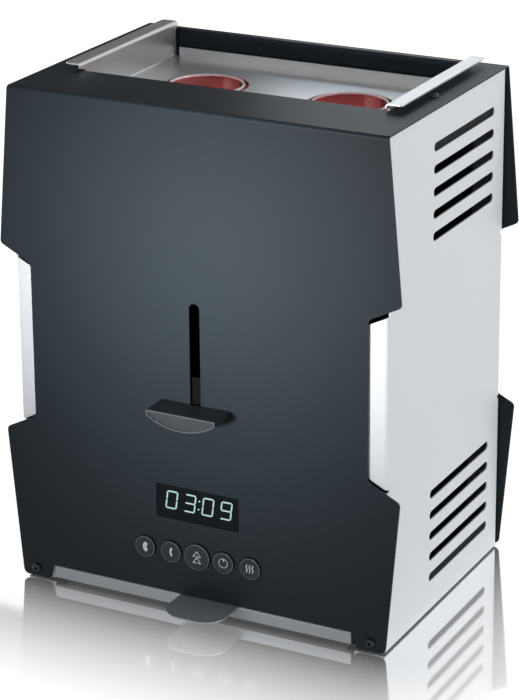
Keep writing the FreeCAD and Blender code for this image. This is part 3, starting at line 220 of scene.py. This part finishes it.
def finish(name, color, roughness, metallic=0.0, grain=(1, 1, 1), mottle=0.1, relief=0.0,
           **sockets):
    """`mottle` is how far the colour varies, `relief` the depth of its pattern in millimetres."""
    material = bpy.data.materials.new(name)
    material.use_nodes = True
    nodes = material.node_tree.nodes
    shader = nodes["Principled BSDF"]
    shader.inputs["Roughness"].default_value = roughness
    shader.inputs["Metallic"].default_value = metallic
    for key, value in sockets.items():
        shader.inputs[key.replace("_", " ")].default_value = value
    place = nodes.new("ShaderNodeTexCoord")
    mapping = nodes.new("ShaderNodeMapping")
    mapping.inputs["Scale"].default_value = [1 / (size * MM) for size in grain]
    noise = nodes.new("ShaderNodeTexNoise")
    noise.inputs["Scale"].default_value = 1.0
    noise.inputs["Detail"].default_value = 3.0
    link(material, place.outputs["Object"], mapping.inputs["Vector"])
    link(material, mapping.outputs["Vector"], noise.inputs["Vector"])
    tint = nodes.new("ShaderNodeMix")
    tint.name = "tint"
    tint.data_type = "RGBA"
    tint.inputs["A"].default_value = [v * (1 - mottle) for v in color] + [1]
    tint.inputs["B"].default_value = [min(1, v * (1 + mottle)) for v in color] + [1]
    link(material, noise.outputs["Fac"], tint.inputs["Factor"])
    link(material, tint.outputs["Result"], shader.inputs["Base Color"])
    if relief:
        bump = nodes.new("ShaderNodeBump")
        bump.inputs["Distance"].default_value = relief * MM
        link(material, noise.outputs["Fac"], bump.inputs["Height"])
        link(material, bump.outputs["Normal"], shader.inputs["Normal"])
    return material


# %% [markdown]
# ## Coated sheet
# The hood wears a dark powder coat and the side panels a silver one. Powder coat melts into a
# fine orange-peel skin, so both get a small, even relief and a broad, dull shine.

# %% Powder coats
hood_coat = finish("hood_powder_coat", (0.0185, 0.0255, 0.0315), 0.38, grain=(0.5, 0.5, 0.5),
                   mottle=0.22, relief=0.02, Specular_IOR_Level=0.09)
silver_coat = finish("silver_powder_coat", (0.625, 0.65, 0.68), 0.5, grain=(0.6, 0.6, 0.6),
                     mottle=0.05, relief=0.03, metallic=0.08)
print("powder coats ready")

# %% [markdown]
# The inner faces of the side panels get a painted shade, a dark grey in place of the silver, so
# the slots look evenly dark. A mask on Object coordinates tells the two apart: it is 1 in the outer
# half of the sheet, on the panel and on its two flanges, and 0 further in.

# %% Painted shade on the inner faces
panel_low, panel_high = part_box("side_panel_right")
SKIN = 0.5 * MM
INNER_PAINTED_SHADE = (0.16, 0.175, 0.19, 1)
panel_middle = (panel_low[1] + panel_high[1]) / 2
panel_half = (panel_high[1] - panel_low[1]) / 2
parts = silver_coat.node_tree.nodes
axes = parts.new("ShaderNodeSeparateXYZ")
link(silver_coat, parts["Texture Coordinate"].outputs["Object"], axes.inputs[0])
outwards = math_node(silver_coat, "ABSOLUTE", axes.outputs[0])
from_middle = math_node(silver_coat, "SUBTRACT", axes.outputs[1], panel_middle)
lengthwise = math_node(silver_coat, "ABSOLUTE", from_middle)
outer_face = math_node(silver_coat, "GREATER_THAN", outwards, panel_high[0] - SKIN)
flange_face = math_node(silver_coat, "GREATER_THAN", lengthwise, panel_half - SKIN)
unshaded = math_node(silver_coat, "MAXIMUM", outer_face, flange_face)
# The mix puts the painted shade on the inner faces and the silver outside.
inner_shade_mix = parts.new("ShaderNodeMix")
inner_shade_mix.data_type = "RGBA"
inner_shade_mix.inputs["A"].default_value = INNER_PAINTED_SHADE
link(silver_coat, unshaded, inner_shade_mix.inputs["Factor"])
link(silver_coat, parts["tint"].outputs["Result"], inner_shade_mix.inputs["B"])
link(silver_coat, inner_shade_mix.outputs["Result"], parts["Principled BSDF"].inputs["Base Color"])
print("the sprayed skin is", round(SKIN / MM, 1), "mm deep")

# %% [markdown]
# ## Bare metal
# Brushed sheet is drawn in one direction, so its pattern is long along x and short across. The
# hidden brackets and the black steel parts are near black, a painted shade that keeps the vents
# black, and the reflectors are dull.

# %% Metals
metals = {
    "tray_steel": finish("brushed_tray_steel", (0.58, 0.59, 0.6), 0.32, 0.85, (30, 0.4, 0.4), 0.08,
                         0.01),
    # The crumb tray is the top tray's steel made darker and less metallic: painted shade for its
    # place under the hood.
    "crumb_steel": finish("shaded_crumb_tray_steel", (0.33, 0.35, 0.37), 0.42, 0.4, (30, 0.4, 0.4), 0.1,
                          0.01),
    # Near black: painted shade for the inside of the casing, seen through the vents.
    "inner_sheet": finish("painted_shade_inner_sheet", (0.01, 0.0108, 0.0115), 0.6, 0, (8, 8, 8), 0.12,
                          Specular_IOR_Level=0.05),
    "reflector": finish("rolled_reflector", (0.4, 0.39, 0.38), 0.5, 1.0, (20, 20, 1), 0.05),
    "rod_steel": finish("ground_steel", (0.62, 0.62, 0.63), 0.2, 1.0, (1, 1, 12), 0.06),
    "core_iron": finish("plain_iron", (0.2, 0.2, 0.21), 0.55, 1.0, (3, 3, 3), 0.2),
    "bush_brass": finish("turned_brass", (0.7, 0.52, 0.22), 0.3, 1.0, (2, 2, 0.3), 0.08),
    "copper": finish("lacquered_wire", (0.6, 0.25, 0.1), 0.3, 1.0, (6, 6, 0.4), 0.2),
    "capacitor_can": finish("sleeved_can", (0.5, 0.51, 0.53), 0.4, 1.0, (4, 4, 4), 0.08),
    # Near black: painted shade for the parts seen in the slots.
    "black_steel": finish("painted_shade_black_steel", (0.003, 0.0035, 0.004), 0.6, 0, (2, 2, 2), 0.2,
                          Specular_IOR_Level=0.04),
    "black_screw": finish("black_oxide", (0.022, 0.023, 0.026), 0.26, 0.6, (1, 1, 1), 0.15),
}
print(len(metals), "metals ready")

# %% [markdown]
# ## Plastic, ceramic and rubber
# Moulded parts carry a faint spark-eroded grain from their mould. The display's pane is smoked
# and polished, so it stays almost black and mirrors its surroundings.

# %% Plastics and the like
plastics = {
    "ceramic": finish("white_ceramic", (0.78, 0.75, 0.69), 0.6, 0, (2, 2, 2), 0.06, 0.03),
    "knob_plastic": finish("knob_black", (0.012, 0.015, 0.018), 0.5, 0, (0.5, 0.5, 0.5), 0.2, 0.02),
    "smoked_window": finish("smoked_pane", (0.004, 0.006, 0.008), 0.12, 0, (9, 9, 9), 0.2,
                            Specular_IOR_Level=0.06),
    "button_plastic": finish("button_grey", (0.022, 0.028, 0.033), 0.4, 0, (0.4, 0.4, 0.4), 0.15,
                             0.01, Specular_IOR_Level=0.2),
    "dark_plastic": finish("moulded_black", (0.02, 0.02, 0.022), 0.5, 0, (1, 1, 1), 0.2, 0.02),
    "pale_plastic": finish("natural_nylon", (0.7, 0.69, 0.64), 0.5, 0, (4, 4, 4), 0.05),
    "circuit_board": finish("green_laminate", (0.02, 0.13, 0.05), 0.35, 0, (3, 0.5, 3), 0.3),
    "rubber": finish("black_rubber", (0.018, 0.018, 0.018), 0.75, 0, (1.5, 1.5, 1.5), 0.2, 0.02),
    "knob_face": finish("dark_brushed_inlay", (0.038, 0.046, 0.052), 0.36, 0.5, (12, 1, 0.2), 0.18,
                        0.01),
    "knob_rim": finish("light_rim", (0.085, 0.095, 0.102), 0.32, 0.4, (2, 2, 2), 0.08),
    "icon_print": finish("pale_print", (0.62, 0.65, 0.67), 0.55, 0, (0.6, 0.6, 0.6), 0.08),
}
print(len(plastics), "plastics ready")

# %% [markdown]
# ## Glass and glow
# The tubes are clear heat-proof glass and the heaters sit in thin quartz. The heating wires and
# their quartz glow red, and that light is what colours the inside of the tubes.

# %% Glass, quartz and glowing parts
glass = finish("clear_tube_glass", (0.8, 0.82, 0.82), 0.04, 0, (40, 40, 40), 0.01, Alpha=0.07)
quartz = finish("heater_quartz", (0.9, 0.25, 0.2), 0.1, 0, (30, 30, 30), 0.02, Alpha=0.25,
                Emission_Color=(1.0, 0.03, 0.03, 1), Emission_Strength=1.6)
wire = finish("glowing_wire", (0.4, 0.03, 0.02), 0.5, 0, (1, 1, 2), 0.2,
              Emission_Color=(1.0, 0.015, 0.01, 1), Emission_Strength=2.6)
digit_light = finish("digit_light", (0.2, 0.28, 0.28), 0.4, 0, (1, 1, 1), 0.1,
                     Emission_Color=(0.5, 0.78, 0.78, 1), Emission_Strength=0.5)
# Opaque light grey, not clear: a painted highlight along the glass rims.
painted_glass_rim_highlight = finish("glass_rim_painted_highlight", (0.86, 0.87, 0.88), 0.1, 0, (9, 9, 9), 0.03)
# A lighter grey than the buttons: a painted highlight along their bevels.
painted_bevel_highlight = finish("painted_bevel_highlight", (0.12, 0.135, 0.145), 0.22, 0, (0.4, 0.4, 0.4), 0.1)
looks = {"hood_powder": hood_coat, "silver_powder": silver_coat, "clear_glass": glass,
         "quartz": quartz, "heater_coil": wire, "lit_digits": digit_light}
looks.update(metals)
looks.update(plastics)
print(len(looks), "finishes in all")

# %% [markdown]
# ## Dressing the CAD nodes
# Each node's slot is written in the record, so one loop gives every node its finish. Only the
# material slots change, never the meshes.

# %% Assign the finishes
for row in frame["record"]["subparts"]:
    node = frame["nodes"][row["node"]]
    for holder in node.material_slots:
        holder.material = looks[row["material_slot"]]


def add_piece(piece, slot, body, look=None):
    piece.data.materials.clear()
    piece.data.materials.append(look or looks[slot])
    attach(piece, body)
    print(piece.name, "has", len(piece.data.polygons), "faces and rides on", body)


# %% [markdown]
# ## Lift springs
# Two coil springs hang between a fixed bracket and the lift's carriage, so they shorten as the lift
# rises. A stiff copy would be cut by the carriage, and this one is stiff: a copy of the CAD node's
# mesh on the casing. It stands for the
# CAD node, which is hidden and has the same shape at rest.

# %% Lift springs
coil = frame["nodes"]["lift_springs"]
springs = bpy.data.objects.new("lift_springs_moving", coil.data.copy())
bpy.context.collection.objects.link(springs)
outward(springs)
add_piece(springs, "rod_steel", "casing")
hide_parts("lift_springs")
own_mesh(springs)

# %% [markdown]
# ## Digits of the display
# A seven-segment display shows slanted strokes with pointed ends. One stroke is drawn from a
# plane: its two short sides are divided and their middles pulled out to points. The other
# strokes are copies, so a change to the first changes them all.

# %% One stroke
STROKE = 0.9
DIGIT_WIDE = 7.4
DIGIT_HIGH = 11.3
GAP = 0.16
PRINT_THICK = 0.06


def stroke(length):
    bpy.ops.mesh.primitive_plane_add(size=1)
    piece = named("stroke")
    piece.scale = mm(length - STROKE, STROKE, 1)
    apply_place(piece)
    for side in (-1, 1):
        edit(piece)
        pick(piece, lambda p: p.x * side > 0)
        bpy.ops.mesh.subdivide(number_cuts=1)
        pick(piece, lambda p: p.x * side > 0 and abs(p.y) < STROKE / 4)
        bpy.ops.transform.translate(value=mm(side * STROKE / 2, 0, 0))
        leave_edit()
    return piece


flat_stroke = stroke(DIGIT_WIDE - STROKE - GAP)
tall_stroke = stroke((DIGIT_HIGH - STROKE) / 2 - GAP)
print("strokes:", [round(v / MM, 2) for v in flat_stroke.dimensions], "mm")

# %% [markdown]
# Seven places make a digit. A letter names each place, as makers of displays do: a is the top,
# then clockwise b to f, and g is the middle. The whole row is slanted at the end by one shear.

# %% Compose the time
ACROSS = (DIGIT_WIDE - STROKE) / 2
RISE = (DIGIT_HIGH - STROKE) / 2
PLACES = {"a": (0, RISE), "g": (0, 0), "d": (0, -RISE),
          "b": (ACROSS, RISE / 2), "c": (ACROSS, -RISE / 2),
          "e": (-ACROSS, -RISE / 2), "f": (-ACROSS, RISE / 2)}
SHAPES = {"0": "abcdef", "3": "abcdg", "9": "abcdfg"}
DIGITS = (("0", -16.6), ("3", -4.8), ("0", 6.8), ("9", 18.5))
SLANT = 0.13
DOT_RADIUS = 0.55
DOT_ACROSS = 1.0
DOT_RISE = 2.6
strokes = []
for digit, middle in DIGITS:
    for letter in SHAPES[digit]:
        x, y = PLACES[letter]
        flat = letter in "agd"
        piece = copy_of(flat_stroke if flat else tall_stroke, "stroke_copy")
        piece.location = mm(middle + x, y, 0)
        piece.rotation_euler = (0, 0, 0 if flat else math.radians(90))
        apply_place(piece)
        strokes.append(piece)
for y in (-DOT_RISE, DOT_RISE):
    bpy.ops.mesh.primitive_circle_add(vertices=16, radius=DOT_RADIUS * MM, fill_type="NGON",
                                      location=mm(DOT_ACROSS, y, 0))
    dot = bpy.context.object
    apply_place(dot)
    strokes.append(dot)
digits = joined(strokes, "display_digits")
digits.data.transform(Matrix(((1, SLANT, 0, 0), (0, 1, 0, 0), (0, 0, 1, 0), (0, 0, 0, 1))))
for spare in (flat_stroke, tall_stroke):
    bpy.data.objects.remove(spare)
print("the digits span", round(digits.dimensions.x / MM, 1), "mm")

# %% [markdown]
# The digits stand a hair proud of the smoked pane. A Solidify modifier gives them thickness, so
# that they are closed solids and not paper.

# %% Place the digits
PANE_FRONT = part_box("display_window")[0][1] / MM
PROUD = 0.01
DIGITS_HEIGHT = 68.5
face_front(digits, 0, PANE_FRONT - PROUD, DIGITS_HEIGHT)
modified(digits, "SOLIDIFY", thickness=PRINT_THICK * MM, offset=-1)
outward(digits)
add_piece(digits, "lit_digits", "casing")

# %% [markdown]
# ## Symbols on the buttons
# Printed symbols follow the hollow face of a button. Each is drawn flat, wrapped onto the button
# by a Shrinkwrap modifier and then thickened a little, as ink is.

# %% Wrapping a symbol onto its button
BUTTON_MIDDLE = {"button_thick_sausage": -34, "button_thin_sausage": -17, "button_start": 0,
                 "button_timer": 17, "button_keep_warm": 34}
BUTTON_HEIGHT = 36.5
START_AHEAD = 1
INK_LIFT = 0.03


def print_on(piece, button):
    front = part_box(button)[0][1] / MM
    face_front(piece, BUTTON_MIDDLE[button], front - START_AHEAD, BUTTON_HEIGHT)
    modified(piece, "SHRINKWRAP", target=frame["nodes"][button], wrap_method="PROJECT",
             use_project_y=True, use_positive_direction=True, use_negative_direction=False,
             offset=INK_LIFT * MM)
    modified(piece, "SOLIDIFY", thickness=PRINT_THICK * MM, offset=0)
    outward(piece)
    add_piece(piece, "icon_print", button)


# %% [markdown]
# A sausage is a bent bar with round ends. Half of it is made: half a disc, whose cut edge is
# spun about the middle of the bend. A Mirror modifier makes the other half.

# %% Two sausages
BEND_CENTRING = 0.3


def sausage(name, width, bend_radius, half_angle):
    bpy.ops.mesh.primitive_circle_add(vertices=32, radius=width / 2 * MM, fill_type="NGON",
                                      location=mm(-bend_radius, 0, 0))
    piece = named(name)
    apply_place(piece)
    edit(piece)
    bpy.ops.mesh.select_all(action="SELECT")
    bpy.ops.mesh.bisect(plane_co=mm(-bend_radius, 0, 0), plane_no=(0, 1, 0), clear_outer=True)
    pick(piece, lambda p: abs(p.y) < 0.001)
    bpy.ops.mesh.spin(steps=10, angle=half_angle, center=(0, 0, 0), axis=(0, 0, 1))
    leave_edit()
    piece.rotation_euler = (0, 0, half_angle)
    apply_place(piece)
    modified(piece, "MIRROR", use_axis=(False, True, False), merge_threshold=0.01 * MM)
    edit(piece)
    bpy.ops.mesh.select_all(action="SELECT")
    bpy.ops.transform.translate(value=mm(bend_radius - BEND_CENTRING, 0, 0))
    leave_edit()
    return piece


print_on(sausage("symbol_thick_sausage", 2.5, 2.6, math.radians(42)), "button_thick_sausage")
print_on(sausage("symbol_thin_sausage", 1.2, 3.4, math.radians(37)), "button_thin_sausage")


# %% [markdown]
# The start symbol is two triangles, one above the other. A circle of three points is a triangle,
# an inset draws its line inside it, and the middle face is deleted to leave the line.

# %% Triangles of the start button
LINE = 0.34


def ring_line(name, points, radius):
    bpy.ops.mesh.primitive_circle_add(vertices=points, radius=radius * MM, fill_type="NGON")
    piece = named(name)
    edit(piece, "FACE")
    bpy.ops.mesh.select_all(action="SELECT")
    bpy.ops.mesh.inset(thickness=LINE * MM)
    bpy.ops.mesh.delete(type="FACE")
    leave_edit()
    return piece


TRIANGLE_RADIUS = 2.5
TRIANGLE_STRETCH = 1.3
TRIANGLE_PLACES = (-2.2, 1.6)
triangles = []
for y in TRIANGLE_PLACES:
    triangle = ring_line("triangle", 3, TRIANGLE_RADIUS)
    triangle.scale = (TRIANGLE_STRETCH, 1.0, 1)
    triangle.location = mm(0, y, 0)
    apply_place(triangle)
    triangles.append(triangle)
    print("a triangle is", round(triangle.dimensions.y / MM, 2), "mm high")
print_on(joined(triangles, "symbol_start"), "button_start")

# %% [markdown]
# The timer is a ring with a filled wedge from twelve o'clock, as on a clock face. The ring is the
# same inset line with many points, and the wedge is a triangle of its own.

# %% Clock of the timer button
CLOCK_RADIUS = 2.9
WEDGE_RADIUS = 1.0
WEDGE_SHAPE = (0.75, -1.25, 1)
WEDGE_PLACE = mm(0.35, 1.35, 0)
clock = ring_line("clock_ring", 40, CLOCK_RADIUS)
bpy.ops.mesh.primitive_circle_add(vertices=3, radius=WEDGE_RADIUS * MM, fill_type="NGON")
wedge = named("wedge")
edit(wedge)
bpy.ops.mesh.select_all(action="SELECT")
bpy.ops.transform.resize(value=WEDGE_SHAPE)
bpy.ops.transform.translate(value=WEDGE_PLACE)
bpy.ops.mesh.flip_normals()
leave_edit()
print_on(joined([clock, wedge], "symbol_timer"), "button_timer")

# %% [markdown]
# Keep warm is three rising waves. A narrow plane is divided into short rows, and the rows are
# pushed left and right by a sine.

# %% Waves of the keep-warm button
WAVE_HIGH = 4.9
WAVE_WIDE = 0.62
WAVE_ROWS = 14
WAVE_SWING = 0.26
WAVE_LENGTH = WAVE_HIGH * 0.72
WAVE_APART = 1.9


def wave():
    bpy.ops.mesh.primitive_grid_add(x_subdivisions=1, y_subdivisions=WAVE_ROWS, size=1)
    piece = named("wave")
    piece.scale = mm(WAVE_WIDE, WAVE_HIGH, 1)
    apply_place(piece)
    edit(piece)
    for row in range(WAVE_ROWS + 1):
        height = (row / WAVE_ROWS - 0.5) * WAVE_HIGH
        swing = -WAVE_SWING * math.sin(2 * math.pi * height / WAVE_LENGTH)
        pick(piece, lambda p: abs(p.y - height) < WAVE_HIGH / WAVE_ROWS / 3)
        bpy.ops.transform.translate(value=mm(swing, 0, 0))
    leave_edit()
    return piece


waves = []
for x in (-WAVE_APART, 0, WAVE_APART):
    one = wave()
    one.location = mm(x, 0, 0)
    apply_place(one)
    waves.append(one)
print_on(joined(waves, "symbol_keep_warm"), "button_keep_warm")

# %% [markdown]
# ## Painted highlights on the buttons' bevels and the glass rims
# Each button has a polished bevel round its face; its shine is a painted highlight, a thin ring in
# light grey. The glass tubes end in a bead, whose shine is a painted highlight, an opaque light
# grey. Both are thin rings, so both are a torus of their own size.

# %% Rings
BEVEL = 0.32
BEAD = 0.8
CAP_RADIUS = 6.4
START_CAP_RADIUS = 7.9
GLASS_RADIUS = 22.0


def thin_ring(name, radius, thick, spot, turn=0.0):
    bpy.ops.mesh.primitive_torus_add(major_radius=radius * MM, minor_radius=thick * MM,
                                     major_segments=96, minor_segments=12, location=mm(*spot),
                                     rotation=(turn, 0, 0))
    piece = named(name)
    apply_place(piece)
    outward(piece)
    return piece


for button, x in BUTTON_MIDDLE.items():
    cap = START_CAP_RADIUS if button == "button_start" else CAP_RADIUS
    ring_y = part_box(button)[0][1] / MM + BEVEL
    bevel_highlight_ring = thin_ring(button.replace("button_", "bevel_"), cap - BEVEL, BEVEL,
                      (x, ring_y, BUTTON_HEIGHT), math.radians(90))
    add_piece(bevel_highlight_ring, "button_plastic", button, painted_bevel_highlight)
for side in ("left", "right"):
    low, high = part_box("glass_tube_" + side)
    middle = (low + high) / 2 / MM
    bead = thin_ring("glass_rim_" + side, GLASS_RADIUS, BEAD,
                     (middle[0], middle[1], high[2] / MM - BEAD / 2))
    add_piece(bead, "clear_glass", "glass_tube_" + side, painted_glass_rim_highlight)

# %% [markdown]
# ## Rim and inlay of the lever's knob
# The knob's front is a bow: a flat top, short ends and a round underside. It starts as a big
# circle, of which three bisecting cuts keep only the lower slice. An inset parts rim and inlay.

# %% Bow outline
knob_low, knob_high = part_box("lever_knob")
KNOB_HALF = knob_high[0] / MM
KNOB_TOP = knob_high[2] / MM
KNOB_BOTTOM = knob_low[2] / MM
KNOB_FRONT = knob_low[1] / MM
END_HIGH = 3.2
drop = KNOB_TOP - END_HIGH - KNOB_BOTTOM
BOW_RADIUS = (KNOB_HALF ** 2 + drop ** 2) / (2 * drop)
RIM = 0.9
print("the bow's radius is", round(BOW_RADIUS, 2), "mm")


def bow(name, shrink=0.0):
    middle = KNOB_BOTTOM + BOW_RADIUS
    bpy.ops.mesh.primitive_circle_add(vertices=512, radius=(BOW_RADIUS - shrink) * MM,
                                      fill_type="NGON", location=mm(0, middle, 0))
    piece = named(name)
    apply_place(piece)
    edit(piece)
    half = KNOB_HALF - shrink
    for co, no in ((mm(0, KNOB_TOP - shrink, 0), (0, 1, 0)), (mm(half, 0, 0), (1, 0, 0)),
                   (mm(-half, 0, 0), (-1, 0, 0))):
        bpy.ops.mesh.select_all(action="SELECT")
        bpy.ops.mesh.bisect(plane_co=co, plane_no=no, clear_outer=True)
    leave_edit()
    return piece


# %% [markdown]
# The rim is what the inset leaves round the middle face. It is thickened backwards into the knob,
# and its edges get a small round.

# %% Rim
RIM_THICK = 0.28
RIM_ROUND = 0.1
rim = bow("knob_rim")
edit(rim, "FACE")
bpy.ops.mesh.select_all(action="SELECT")
bpy.ops.mesh.inset(thickness=RIM * MM)
bpy.ops.mesh.delete(type="FACE")
leave_edit()
face_front(rim, 0, KNOB_FRONT, 0)
modified(rim, "SOLIDIFY", thickness=RIM_THICK * MM, offset=1)
modified(rim, "BEVEL", width=RIM_ROUND * MM, segments=2, limit_method="ANGLE")
outward(rim)
add_piece(rim, "knob_rim", "lift")

# %% [markdown]
# The inlay lies on the floor of the pocket behind the rim. It is a thin brushed plate with a
# rounded edge.

# %% Inlay
POCKET = 0.5
INLAY_GAP = 0.06
INLAY_THICK = 0.12
INLAY_ROUND = 0.04
inlay = bow("knob_inlay", RIM + INLAY_GAP)
face_front(inlay, 0, KNOB_FRONT + POCKET, 0)
modified(inlay, "SOLIDIFY", thickness=INLAY_THICK * MM, offset=1)
modified(inlay, "BEVEL", width=INLAY_ROUND * MM, segments=2, limit_method="ANGLE")
outward(inlay)
add_piece(inlay, "knob_face", "lift")

# %% [markdown]
# ## Floor
# The toaster stands on a glossy white table. Close to the feet it mirrors the casing, and the
# mirror fades with distance, which a mask of the distance from the casing's footprint gives.

# %% Floor and its finish
FLOOR_SIZE = 14.0
bpy.ops.mesh.primitive_plane_add(size=FLOOR_SIZE)
floor = named("floor")
table = bpy.data.materials.new("glossy_white_table")
table.use_nodes = True
nodes = table.node_tree.nodes
nodes.clear()

MIDDLE_Y = 11.5 * MM
HALF_WIDE = 117 * MM
HALF_DEEP = 81 * MM
FADE = 150 * MM
FADE_CURVE = 1.5
MIRROR = 0.95
FLOOR_GLOW = 0.86
PAINT = 0.6
POLISH_ROUGHNESS = 0.06
split = nodes.new("ShaderNodeSeparateXYZ")
link(table, nodes.new("ShaderNodeTexCoord").outputs["Object"], split.inputs[0])
sideways = math_node(table, "ABSOLUTE", split.outputs[0])
beside = math_node(table, "MAXIMUM", math_node(table, "SUBTRACT", sideways, HALF_WIDE), 0.0)
along = math_node(table, "ABSOLUTE", math_node(table, "SUBTRACT", split.outputs[1], MIDDLE_Y))
before = math_node(table, "MAXIMUM", math_node(table, "SUBTRACT", along, HALF_DEEP), 0.0)
squares = math_node(table, "ADD", math_node(table, "MULTIPLY", beside, beside),
                    math_node(table, "MULTIPLY", before, before))
away = math_node(table, "SQRT", squares)
faded = math_node(table, "SUBTRACT", 1.0, math_node(table, "DIVIDE", away, FADE))
near = math_node(table, "MAXIMUM", faded, 0.0)
mirror_share = math_node(table, "MULTIPLY", math_node(table, "POWER", near, FADE_CURVE), MIRROR)

# %% [markdown]
# The mask mixes white paint with polish. What isn't mirror glows a little where the camera or a
# reflection sees it, so that the table runs into the white room but keeps the toaster's shadow.

# %% Paint, polish and glow of the table
paint = nodes.new("ShaderNodeBsdfDiffuse")
paint.inputs["Color"].default_value = (PAINT, PAINT, PAINT, 1)
polish = nodes.new("ShaderNodeBsdfGlossy")
polish.inputs["Color"].default_value = (1, 1, 1, 1)
polish.inputs["Roughness"].default_value = POLISH_ROUGHNESS
blend = nodes.new("ShaderNodeMixShader")
link(table, mirror_share, blend.inputs[0])
link(table, paint.outputs[0], blend.inputs[1])
link(table, polish.outputs[0], blend.inputs[2])
glow = nodes.new("ShaderNodeEmission")
glow.inputs["Color"].default_value = (1, 1, 1, 1)
path = nodes.new("ShaderNodeLightPath")
seen = math_node(table, "MAXIMUM", path.outputs["Is Camera Ray"], path.outputs["Is Glossy Ray"])
clear = math_node(table, "SUBTRACT", 1.0, mirror_share)
seen_glow = math_node(table, "MULTIPLY", seen, FLOOR_GLOW)
link(table, math_node(table, "MULTIPLY", seen_glow, clear), glow.inputs["Strength"])
total = nodes.new("ShaderNodeAddShader")
link(table, blend.outputs[0], total.inputs[0])
link(table, glow.outputs[0], total.inputs[1])
link(table, total.outputs[0], nodes.new("ShaderNodeOutputMaterial").inputs["Surface"])
floor.data.materials.append(table)
print("floor is", FLOOR_SIZE, "m wide")

# %% [markdown]
# ## Light
# A pale room lights the toaster from all round. A large soft lamp at the right lights the silver
# side, a weaker one fills the left side, a spot in front lets the dark hood glow a little in its
# middle, and a broad one behind draws a sheen along the front of the top.

# %% Room
ROOM_LIGHT = 0.3
world = bpy.data.worlds.new("pale_room")
world.use_nodes = True
bpy.context.scene.world = world
back = world.node_tree.nodes["Background"]
back.inputs["Color"].default_value = (1, 1, 1, 1)
ray = world.node_tree.nodes.new("ShaderNodeLightPath").outputs
through = math_node(world, "MAXIMUM", ray["Is Camera Ray"], ray["Is Transmission Ray"])
shown = math_node(world, "MAXIMUM", through, ray["Is Glossy Ray"])
level_mix = world.node_tree.nodes.new("ShaderNodeMapRange")
level_mix.inputs["To Min"].default_value = ROOM_LIGHT
level_mix.inputs["To Max"].default_value = 1.0
link(world, shown, level_mix.inputs["Value"])
link(world, level_mix.outputs[0], back.inputs["Strength"])
print("the room lights surfaces at", ROOM_LIGHT, "and is seen as 1.0")

# %% [markdown]
# An area lamp has soft edges and serves the large side panels. A spot lights a round patch that
# fades to its rim. Both are turned so that they look at a point of the toaster.

# %% Lamps
def aimed(name, kind, spot, aim, power):
    bpy.ops.object.light_add(type=kind, location=mm(*spot))
    lamp = bpy.context.object
    lamp.name = name
    lamp.data.energy = power
    lamp.rotation_euler = (mm(*aim) - mm(*spot)).to_track_quat("-Z", "Y").to_euler()
    return lamp.data


def soft_lamp(name, spot, aim, size, power):
    light = aimed(name, "AREA", spot, aim, power)
    light.shape = "SQUARE"
    light.size = size * MM


def spot_lamp(name, spot, aim, angle, power, radius=100, color=(1, 1, 1)):
    light = aimed(name, "SPOT", spot, aim, power)
    light.color = color
    light.spot_size = math.radians(angle)
    light.spot_blend = 1.0
    light.shadow_soft_size = radius * MM


soft_lamp("side_lamp", (1500, 200, 500), (100, 10, 150), 600, 12)
soft_lamp("fill_lamp", (-1500, 250, 500), (-100, 10, 150), 600, 5)
spot_lamp("front_spot", (-150, -900, 240), (8, -70, 212), 21, 92)
spot_lamp("top_spot", (-350, 650, 900), (95, -100, 302), 13, 85, 350, (0.78, 0.9, 1.0))

# %% [markdown]
# A photographer keeps part of a glossy surface dark with cards that the camera doesn't see. One
# stands behind the left end, so the top brightens from left to right. One hangs above, which
# draws the dark line along the front bend. One lies low in front, for what is near the table.

# %% Dark cards
def card_paper(name, shade):
    paper = bpy.data.materials.new(name)
    paper.use_nodes = True
    surface = paper.node_tree.nodes["Principled BSDF"]
    surface.inputs["Base Color"].default_value = (shade, shade, shade, 1)
    surface.inputs["Roughness"].default_value = 0.9
    return paper


def dark_card(name, spot, turn, wide, high, paper):
    bpy.ops.mesh.primitive_plane_add(size=1, location=mm(*spot), rotation=(turn, 0, 0))
    card = named(name)
    card.scale = mm(wide, high, 1)
    apply_place(card)
    card.visible_camera = False
    card.visible_diffuse = False
    card.visible_shadow = False
    card.visible_transmission = False
    card.data.materials.append(paper)
    print(name, "stands at", spot)


grey_paper = card_paper("grey_paper", 0.35)
black_paper = card_paper("black_paper", 0.05)
dark_card("rear_card", (-900, 400, 700), math.radians(90), 1400, 800, grey_paper)
dark_card("upper_card", (-380, 0, 1100), 0.0, 1100, 1000, black_paper)
dark_card("low_card", (-200, -430, 6), 0.0, 900, 400, black_paper)
